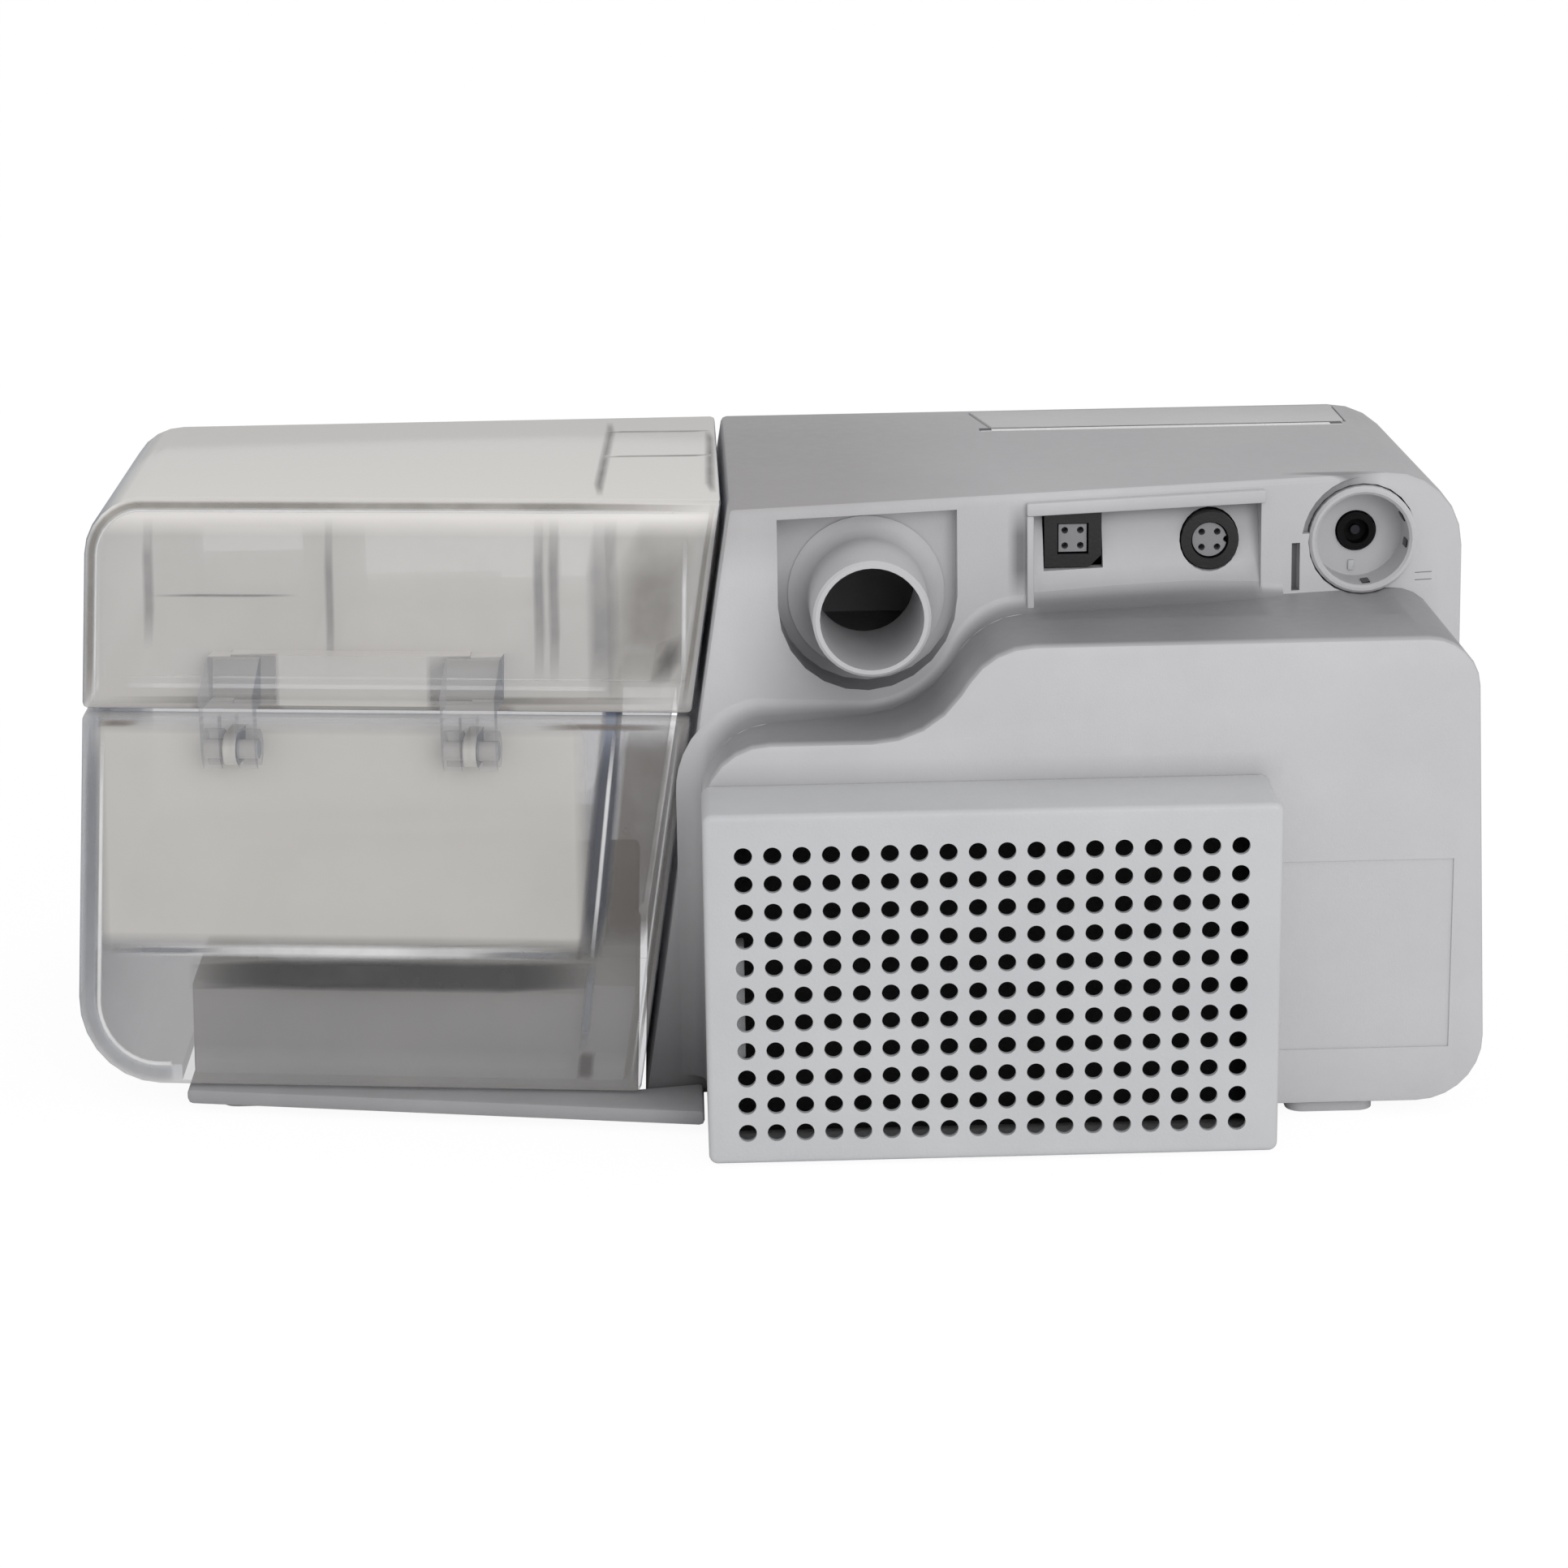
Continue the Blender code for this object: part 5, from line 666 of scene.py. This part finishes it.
def jack_slot_painted_shade(name, turn):
    """Painted shade in a contact slot: a flat black mark on the well's wall."""
    out = Vector((math.cos(turn), 0, math.sin(turn)))
    across = Vector((-math.sin(turn), 0, math.cos(turn))) * SLOT_SHADE_HALF
    middle = Vector((JACK_X, SLOT_SHADE_Y, JACK_Z)) + out * JACK_WELL
    deep = Vector((0, SLOT_SHADE_LONG, 0))
    rings = []
    for side in (SLOT_SHADE_IN, SLOT_SHADE_OUT):
        here = middle + out * side
        rings.append([here - across, here + across, here + across + deep, here - across + deep])
    lofted(name, rings, BLACK, "main_unit")


def jack():
    """Painted shade in the contact slots on the well's wall, a post on its floor and two fine grooves at its
    right.
    """
    for index, turn in enumerate(SLOT_SHADE_TURNS):
        jack_slot_painted_shade(f"jack_slot_painted_shade_{index + 1}", turn)
    block("jack_post", (JACK_X - POST_LEFT, POST_FRONT, JACK_Z - POST_LOW),
          (JACK_X - POST_RIGHT, POST_BACK, JACK_Z - POST_HIGH), GRILLE, "main_unit", 0.0002)
    for index, z in enumerate(GROOVE_HEIGHTS):
        leaning_bar(f"side_groove_{index + 1}", GROOVE_LEFT, z - GROOVE_HALF, GROOVE_RIGHT, z + GROOVE_HALF,
                    GROOVE_PROUD, GROOVE_GREY)


# Grille: a rounded box with a thin plate of round holes, and a clip that shows behind a few of them

HOLE_COLUMNS, HOLE_ROWS, HOLE_PITCH, HOLE_RADIUS = 18, 11, 0.00515, 0.00162
HOLE_LEFT, HOLE_HIGH, HOLE_SIDES = -0.0055, 0.058, 24
HOLE_TURNS = [math.tau * k / HOLE_SIDES for k in range(HOLE_SIDES)]
HALF_CELL = HOLE_PITCH / 2
CELL_SIDE = HALF_CELL * 0.999
PLATE_THICK, GRILLE_WALL, GRILLE_EDGE, GRILLE_CORNER = 0.0010, 0.0020, 0.0010, 0.0016
EDGE_STEPS, CORNER_STEPS, LEAST_CORNER = 4, 5, 0.0003
CLIP_WIDE, CLIP_BEHIND, CLIP_BACK_Y, CLIP_LOW, CLIP_HIGH = 0.007, 0.005, -0.0600, 0.019, 0.040


def rounded_box_ring(low, high, inset, y):
    """The cover's outline with rounded corners, drawn in by an inset."""
    x0, z0, x1, z1 = low[0] + inset, low[2] + inset, high[0] - inset, high[2] - inset
    radius = max(GRILLE_CORNER - inset, LEAST_CORNER)
    middle = (x0 + x1) / 2
    line = rounded([(middle, z0, 0), (x1, z0, radius), (x1, z1, radius), (x0, z1, radius), (x0, z0, radius),
                    (middle, z0, 0)], CORNER_STEPS)
    return [(point.x, y, point.y) for point in line[:-1]]


def grille_rings(low, high):
    """From the plate's front edge over the rounded outer edge to the back, and inside to the plate again."""
    front, back = low[1], high[1]
    rings = []
    for step in range(EDGE_STEPS + 1):
        turn = math.pi / 2 * step / EDGE_STEPS
        inset = GRILLE_EDGE * (1 - math.sin(turn))
        rings.append(rounded_box_ring(low, high, inset, front + GRILLE_EDGE * (1 - math.cos(turn))))
    rings.append(rounded_box_ring(low, high, 0, back))
    for y in (back, front + PLATE_THICK):
        rings.append(rounded_box_ring(low, high, GRILLE_WALL, y))
    return rings


def cell_points():
    """Points round a square cell, one straight out from each point of its hole."""
    points = []
    for turn in HOLE_TURNS:
        reach = HALF_CELL / max(abs(math.cos(turn)), abs(math.sin(turn)))
        points.append((math.cos(turn) * reach, math.sin(turn) * reach))
    return points


def hole_cell(x, z, front, cell, start):
    """One cell of the plate with its hole: its points, and its faces numbered from a start."""
    points = []
    for y in (front, front + PLATE_THICK):
        points += [Vector((x + a, y, z + b)) for a, b in cell]
        points += [Vector((x + math.cos(turn) * HOLE_RADIUS, y, z + math.sin(turn) * HOLE_RADIUS))
                   for turn in HOLE_TURNS]
    faces = []
    outer_front, hole_front, outer_back, hole_back = (start + HOLE_SIDES * ring for ring in range(4))
    for first, second in ((outer_front, hole_front), (outer_back, hole_back), (hole_front, hole_back)):
        for k in range(HOLE_SIDES):
            after = (k + 1) % HOLE_SIDES
            faces.append((first + k, first + after, second + after, second + k))
    return points, faces


def grid_rim(cell):
    """The outline of all the cells together: along the bottom, up the right, back along the top and down."""
    columns = [HOLE_LEFT + column * HOLE_PITCH for column in range(HOLE_COLUMNS)]
    rows = [HOLE_HIGH - row * HOLE_PITCH for row in range(HOLE_ROWS)]
    below = [a for a, b in sorted(cell) if b < -CELL_SIDE and a < CELL_SIDE]
    right = [b for b, a in sorted((b, a) for a, b in cell) if a > CELL_SIDE and b < CELL_SIDE]
    above = [a for a, b in sorted(cell, reverse=True) if b > CELL_SIDE and a > -CELL_SIDE]
    left = [b for b, a in sorted(((b, a) for a, b in cell), reverse=True)
            if a < -CELL_SIDE and b > -CELL_SIDE]
    rim = [(x + a, rows[-1] - HALF_CELL) for x in columns for a in below]
    rim += [(columns[-1] + HALF_CELL, z + b) for z in reversed(rows) for b in right]
    rim += [(x + a, rows[0] + HALF_CELL) for x in reversed(columns) for a in above]
    rim += [(columns[0] - HALF_CELL, z + b) for z in rows for b in left]
    return rim


def grille():
    low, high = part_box("filter_cover")
    front = low[1]
    rings = grille_rings(low, high)
    points = [Vector(point) for ring in rings for point in ring]
    faces = walls(points, len(rings[0]))
    cell = cell_points()
    for column in range(HOLE_COLUMNS):
        for row in range(HOLE_ROWS):
            x, z = HOLE_LEFT + column * HOLE_PITCH, HOLE_HIGH - row * HOLE_PITCH
            cell_corners, cell_faces = hole_cell(x, z, front, cell, len(points))
            points += cell_corners
            faces += cell_faces
    rim = grid_rim(cell)
    for y, ring in ((front, rings[0]), (front + PLATE_THICK, rings[-1])):
        loops = [[Vector((x, z, 0)) for x, _, z in ring], [Vector((x, z, 0)) for x, z in rim]]
        start = len(points)
        points += [Vector((spot.x, y, spot.y)) for loop in loops for spot in loop]
        faces += [tuple(start + k for k in face) for face in tessellate_polygon(loops)]
    made = piece("grille", points, faces, GRILLE, "filter_cover")
    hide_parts("filter_cover")
    block("grille_clip", (low[0] + GRILLE_WALL / 2, front + CLIP_BEHIND, CLIP_LOW),
          (low[0] + CLIP_WIDE, CLIP_BACK_Y, CLIP_HIGH), GRILLE, "filter_cover", 0.0003)


# Humidifier: the lines and tints that its clear walls show at their edges, and painted shade and painted
# highlights, in the rear face's x and z

HUM_REAR_Y, HUM_REAR_TURN, HUM_REAR_LEAN = -0.05015, -0.12, 0.22
HUM_TOP, HUM_SPLIT_HIGH, HUM_SPLIT_LOW, HUM_LOW = 0.112, 0.0735, 0.0725, 0.005
SPLIT_MARGIN = 0.0006
SHEET_SINK = 0.0002


def hum_y(x, z):
    return HUM_REAR_Y + HUM_REAR_TURN * x + HUM_REAR_LEAN * z


def hum_left(z):
    return -0.1303 + 0.0439 * (z - HUM_LOW)


def hum_right(z):
    return -0.0256 + 0.1616 * z


def partition_x(z):
    """The right face of the tank's inner partition."""
    return -0.03155 + 0.1207 * (z - 0.0316)


def on_rear_face(spot, out):
    return spot.x, hum_y(spot.x, spot.y) - out, spot.y


def on_lid_top(spot, out):
    return spot.x, spot.y, HUM_TOP + out


def rectangle(left, low, right, high):
    return [(left, low), (right, low), (right, high), (left, high)]


def soft_sheet(name, rows, finish, body, proud, place=on_rear_face):
    """A thin sheet on a face. Each row holds (point, fade) pairs across it."""
    rings, fades = [], []
    for row in rows:
        front = [(place(spot, proud), fade) for spot, fade in row]
        rear = [(place(spot, -SHEET_SINK), fade) for spot, fade in reversed(row)]
        rings.append([spot for spot, fade in front + rear])
        fades += [fade for spot, fade in front + rear]
    lofted(name, rings, finish, body, 0.0, fades)


def on_rear(name, corners, finish, body, proud=0.00005, soft=0.35):
    """A thin four-sided sheet on the rear face, which fades towards its edges. It carries tints, painted
    shade and painted highlights.
    """
    a, b, c, d = (Vector(corner) for corner in corners)
    shares = ((0.0, 0.0), (soft, 1.0), (1 - soft, 1.0), (1.0, 0.0))
    rows = []
    for down, across_fade in shares:
        left, right = a.lerp(d, down), b.lerp(c, down)
        rows.append([(left.lerp(right, over), across_fade * fade) for over, fade in shares])
    soft_sheet(name, rows, finish, body, proud)


def full(point):
    return 1.0


def rear_band(name, line, near, far, finish, body, proud=0.00009, weight=full):
    """A thin band that follows a line on the rear face and fades at its sides and ends."""
    line = [line[0], line[0].lerp(line[1], 0.25)] + line[1:-1] + [line[-1].lerp(line[-2], 0.25), line[-1]]
    rows = []
    for index, point in enumerate(line):
        ahead = heading(line, index)
        side = Vector((ahead.y, -ahead.x)).normalized()
        end = 0.0 if index in (0, len(line) - 1) else weight(point)
        rows.append([(point + side * (near + (far - near) * over), fade * end)
                     for over, fade in ((0.0, 0.0), (0.3, 1.0), (0.7, 1.0), (1.0, 0.0))])
    soft_sheet(name, rows, finish, body, proud)


def top_line(name, start, end, wide, finish):
    """A soft line on the lid's top, seen from an insert wall below it."""
    start, end = Vector(start), Vector(end)
    side = Vector((start.y - end.y, end.x - start.x)).normalized() * wide
    rows = []
    for down, end_fade in ((0.0, 0.0), (0.15, 1.0), (0.85, 1.0), (1.0, 0.0)):
        middle = start.lerp(end, down)
        rows.append([(middle + side * over, end_fade * fade)
                     for over, fade in ((-0.5, 0.0), (0.0, 1.0), (0.5, 0.0))])
    soft_sheet(name, rows, finish, "humidifier_lid", 0.00004, on_lid_top)


# Lid: uprights are (x, lowest z, width), and top lines run between two points (x, y)

LID_UPRIGHTS = (
    (-0.11405, 0.0845, 0.0010), (-0.08025, 0.0790, 0.0008), (-0.04145, 0.0790, 0.0010),
    (-0.03865, 0.0790, 0.0010), (-0.02975, 0.0760, 0.0026),
)
UPRIGHT_TOP, UPRIGHT_HALF = 0.1085, 1.19
TOP_LINES = (
    ((-0.0295, 0.0440), (-0.0086, 0.0430)), ((-0.0295, 0.0184), (-0.0089, 0.0176)),
    ((-0.0088, 0.0440), (-0.0095, -0.0190)), ((-0.0283, 0.0550), (-0.0304, -0.0200)),
)
TOP_LINE_WIDE = 0.0024
RIB_LEFT, RIB_RIGHT, RIB_LOW, RIB_HIGH, RIB_HALF = -0.0285, -0.0115, 0.1073, 0.1085, 0.0006
RIB_PLACES = (-0.018, 0.006, 0.036)


def lid_rear_lines():
    """What shows through the lid's rear: the insert's baffles, cell and floor with a painted highlight on the
    floor's line, and painted shade for the duct's dark room.
    """
    for index, (x, low, wide) in enumerate(LID_UPRIGHTS):
        half = wide * UPRIGHT_HALF
        on_rear(f"lid_upright_{index + 1}", rectangle(x - half, low, x + half, UPRIGHT_TOP),
                EDGE_FAINT, "humidifier_lid", 0.00012, 0.3)
    on_rear("lid_cell_sill", rectangle(-0.1135, 0.0940, -0.0860, 0.0946),
            EDGE_BLUE, "humidifier_lid", 0.0001)
    # Painted shade for the duct's dark room
    on_rear("lid_duct_painted_room_shade", [(-0.0290, 0.0760), (-0.0150, 0.0760), (-0.0098, 0.1085), (-0.0290, 0.1085)],
            SHADE_LIGHT, "humidifier_lid")
    on_rear("lid_floor_line", rectangle(-0.1225, 0.0793, -0.0145, 0.0797),
            PAINTED_HIGHLIGHT, "humidifier_lid", 0.00007)
    on_rear("lid_floor_tint", rectangle(-0.1235, 0.0746, -0.0150, 0.0765),
            EDGE_BROWN, "humidifier_lid", 0.00006)


def lid_top_lines():
    """What shows of the insert's walls through the lid's top."""
    for index, (start, end) in enumerate(TOP_LINES):
        top_line(f"lid_top_line_{index + 1}", start, end, TOP_LINE_WIDE, SHADE_DEEP)


def lid_duct_detail():
    """A painted glint and a spot of painted shade on the lid's air duct, and its ribs."""
    on_rear("lid_duct_glint", [(-0.0158, 0.0780), (-0.0146, 0.0780), (-0.0138, 0.1055), (-0.0150, 0.1055)],
            PAINTED_HIGHLIGHT, "humidifier_lid", 0.00014)
    # A spot of painted shade on the duct
    on_rear("lid_duct_painted_shade_spot", [(-0.0215, 0.0790), (-0.0150, 0.0790), (-0.0150, 0.0880), (-0.0200, 0.0860)],
            SHADE_DEEP, "humidifier_lid", 0.00010, 0.45)
    for index, y in enumerate(RIB_PLACES):
        block(f"duct_rib_{index + 1}", (RIB_LEFT, y - RIB_HALF, RIB_LOW), (RIB_RIGHT, y + RIB_HALF, RIB_HIGH),
              EDGE_CLEAR, "humidifier_lid", 0.0002)


def lid_detail():
    """The lid's own edges with a painted glint along its rim, and what shows through it."""
    low = HUM_SPLIT_HIGH + SPLIT_MARGIN
    rim = rounded([(hum_left(HUM_SPLIT_HIGH), low, 0), (hum_left(HUM_TOP), HUM_TOP, 0.011),
                   (hum_right(HUM_TOP), HUM_TOP, 0)], 10)
    rear_band("lid_rim", rim, 0.0006, 0.0023, EDGE_BROWN, "humidifier_lid")
    rear_band("lid_rim_glint", rim, 0.0020, 0.0027, PAINTED_HIGHLIGHT, "humidifier_lid")
    lid_rear_lines()
    seam = [Vector((hum_right(z), z)) for z in (HUM_TOP - 0.001, low)]
    rear_band("lid_seam_edge", seam, 0.0010, 0.0022, EDGE_BROWN, "humidifier_lid")
    lid_top_lines()
    lid_duct_detail()


# Tank: lines down the partition's right face, and tints, painted shade and painted highlights along its
# floor, its seal and its side room

WALL_HIGH, WALL_LOW, LEG_HIGH, LEG_LOW, TIP_HIGH, TIP_LOW = 0.0705, 0.0285, 0.0283, 0.0125, 0.0124, 0.0070
ROOM_LOW, ROOM_HIGH = 0.0315, 0.0715
SKIRT_LEFT, SKIRT_LOW, SKIRT_HIGH = -0.1085, 0.0226, 0.0284
FLOOR_LEFT, FLOOR_LOW, FLOOR_HIGH = -0.1230, 0.0285, 0.0312
FLOOR_ENDS = ((-0.1230, -0.1020), (-0.0560, -0.0352))
SEAL_TINTS = ((-0.1245, -0.1165), (-0.0425, -0.0165))
RIM_FAINT, RIM_TURN = 0.35, 0.022


def rim_weight(point):
    """The tank's rim is faint round its lower corner and grows strong above it."""
    return RIM_FAINT if point.y < RIM_TURN else min(1.0, RIM_FAINT + (point.y - RIM_TURN) * 40)


def tank_edges():
    """The bands along the tank's rounded left edge and along its seam with the main unit, with painted glints
    beside them and painted shade along the seam.
    """
    high = HUM_SPLIT_LOW - SPLIT_MARGIN
    rim = rounded([(-0.1120, HUM_LOW, 0), (hum_left(HUM_LOW), HUM_LOW, 0.015),
                   (hum_left(HUM_SPLIT_LOW), high, 0)], 12)
    rear_band("tank_rim", rim, 0.0006, 0.0036, EDGE_BLUE, "water_tank", 0.00009, rim_weight)
    rear_band("tank_rim_glint", rim, 0.0034, 0.0044, PAINTED_HIGHLIGHT, "water_tank")
    seam = [Vector((hum_right(z), z)) for z in (high, HUM_LOW + 0.001)]
    rear_band("tank_seam_edge", seam, 0.0009, 0.0017, SHADE_DEEP, "water_tank")
    rear_band("tank_seam_glint", seam, 0.0018, 0.0023, GLINT_FAINT, "water_tank")


def partition_lines():
    """The partition with a painted highlight on its edge, its leg below the tank's floor and painted shade at
    the leg's tip.
    """
    wall, leg, tip = ([Vector((partition_x(z), z)) for z in span]
                      for span in ((WALL_HIGH, WALL_LOW), (LEG_HIGH, LEG_LOW), (TIP_HIGH, TIP_LOW)))
    rear_band("partition_band", wall, -0.0010, 0.0042, PARTITION_BLUE, "water_tank")
    rear_band("partition_glint", wall, 0.0008, 0.0018, PAINTED_HIGHLIGHT, "water_tank", 0.00013)
    rear_band("partition_leg", leg, 0.0004, 0.0022, EDGE_BLUE, "water_tank")
    rear_band("partition_leg_tip", tip, -0.0010, 0.0022, SHADE_DEEP, "water_tank")


def tank_tints_and_painted_light():
    """Painted shade on the side room and under the floor, a painted highlight on the floor's bright edge, and
    tints at the floor's ends and at the ends of the seal.
    """
    room = [(partition_x(ROOM_LOW) + 0.0004, ROOM_LOW), (hum_right(ROOM_LOW) - 0.0024, ROOM_LOW),
            (hum_right(ROOM_HIGH) - 0.0024, ROOM_HIGH), (partition_x(ROOM_HIGH) + 0.0004, ROOM_HIGH)]
    # Painted shade on the side room
    on_rear("side_room_painted_shade", room, ROOM_SHADE, "water_tank", 0.00005, 0.12)
    # Painted shade under the tank's floor
    skirt_right = partition_x(WALL_LOW) - 0.0010
    on_rear("skirt_painted_shade", rectangle(SKIRT_LEFT, SKIRT_LOW, skirt_right, SKIRT_HIGH),
            SKIRT_SHADE, "water_tank", 0.00005, 0.22)
    band = [(FLOOR_LEFT, FLOOR_LOW), (partition_x(FLOOR_LOW) - 0.0034, FLOOR_LOW),
            (partition_x(FLOOR_HIGH) - 0.0034, FLOOR_HIGH), (FLOOR_LEFT, FLOOR_HIGH)]
    # A painted highlight on the floor's bright edge
    on_rear("floor_band", band, PAINTED_HIGHLIGHT, "water_tank", 0.00006)
    for index, (left, right) in enumerate(FLOOR_ENDS):
        on_rear(f"floor_end_{index + 1}", rectangle(left, 0.0290, right, 0.0303),
                EDGE_BLUE, "water_tank", 0.0001)
    for index, (left, right) in enumerate(SEAL_TINTS):
        on_rear(f"seal_tint_{index + 1}", rectangle(left, 0.0703, right, 0.0717),
                SEAL_BROWN, "water_tank", 0.0001)


def tank_detail():
    tank_edges()
    partition_lines()
    tank_tints_and_painted_light()


# Light: an even sky, one soft lamp at the camera's right, and a floor that the camera sees as white

AMBIENT = 0.62
FLOOR_SIZE, FLOOR_SHARE, FLOOR_WHITE, FLOOR_COLOUR = 12.0, 0.88, 1.06, (0.9, 0.9, 0.9, 1)
WHITE = (1, 1, 1, 1)
LAMP_PLACE, LAMP_AIM, LAMP_SIZE, LAMP_POWER = (0.45, -1.5, 0.62), (0, 0, 0.05), 1.0, 7


def floor():
    """A white floor that keeps a faint shadow."""
    made, tree = fresh("floor_white")
    base = add(tree, "ShaderNodeBsdfDiffuse")
    base.inputs["Color"].default_value = FLOOR_COLOUR
    glow = add(tree, "ShaderNodeEmission")
    glow.inputs["Color"].default_value = WHITE
    glow.inputs["Strength"].default_value = FLOOR_WHITE
    seen = add(tree, "ShaderNodeLightPath").outputs["Is Camera Ray"]
    shown(tree, mixed(tree, times(tree, seen, FLOOR_SHARE), base.outputs["BSDF"], glow.outputs["Emission"]))
    mesh = bpy.data.meshes.new("floor")
    work = bmesh.new()
    bmesh.ops.create_grid(work, x_segments=1, y_segments=1, size=FLOOR_SIZE / 2)
    work.to_mesh(mesh)
    work.free()
    mesh.materials.append(made)
    ground = bpy.data.objects.new("floor", mesh)
    bpy.context.scene.collection.objects.link(ground)


def sky(tree, strength):
    made = add(tree, "ShaderNodeBackground")
    made.inputs["Color"].default_value = WHITE
    made.inputs["Strength"].default_value = strength
    return made.outputs["Background"]


def world():
    """An even light from all round, which the camera sees as plain white, also through clear plastic."""
    made = bpy.data.worlds.new("studio")
    bpy.context.scene.world = made
    made.use_nodes = True
    tree = made.node_tree
    tree.nodes.clear()
    path = add(tree, "ShaderNodeLightPath")
    seen = combined(tree, "MAXIMUM", path.outputs["Is Camera Ray"], path.outputs["Is Transmission Ray"])
    out = add(tree, "ShaderNodeOutputWorld")
    tree.links.new(mixed(tree, seen, sky(tree, AMBIENT), sky(tree, 1.0)), out.inputs["Surface"])


def lamp():
    data = bpy.data.lights.new("key", "AREA")
    data.shape = "DISK"
    data.size = LAMP_SIZE
    data.energy = LAMP_POWER
    made = bpy.data.objects.new("key", data)
    made.location = LAMP_PLACE
    made.rotation_euler = (Vector(LAMP_PLACE) - Vector(LAMP_AIM)).to_track_quat("Z", "Y").to_euler()
    bpy.context.scene.collection.objects.link(made)


# Camera: the photograph's view, from above and a little to the left of straight on to the rear

PHOTO_PIXELS, FOCAL_PIXELS, SENSOR = 1932, 4900, 36
CAMERA_PLACE = (-0.01538, -0.73888, 0.25862)
CAMERA_RIGHT = (0.999441, -0.030031, -0.014679)
CAMERA_UP = (0.022258, 0.270261, 0.962530)
CAMERA_BACK = (-0.024939, -0.962319, 0.270778)


def camera():
    data = bpy.data.cameras.new("camera")
    data.sensor_width = SENSOR
    data.lens = SENSOR * FOCAL_PIXELS / PHOTO_PIXELS
    data.clip_start = 0.01
    made = bpy.data.objects.new("camera", data)
    turn = Matrix((CAMERA_RIGHT, CAMERA_UP, CAMERA_BACK)).transposed().to_4x4()
    made.matrix_world = Matrix.Translation(CAMERA_PLACE) @ turn
    bpy.context.scene.collection.objects.link(made)
    bpy.context.scene.camera = made


dress()
cove()
hood()
bar_line()
jack()
grille()
lid_detail()
tank_detail()
floor()
world()
lamp()
camera()
bpy.context.scene.view_settings.view_transform = "Standard"
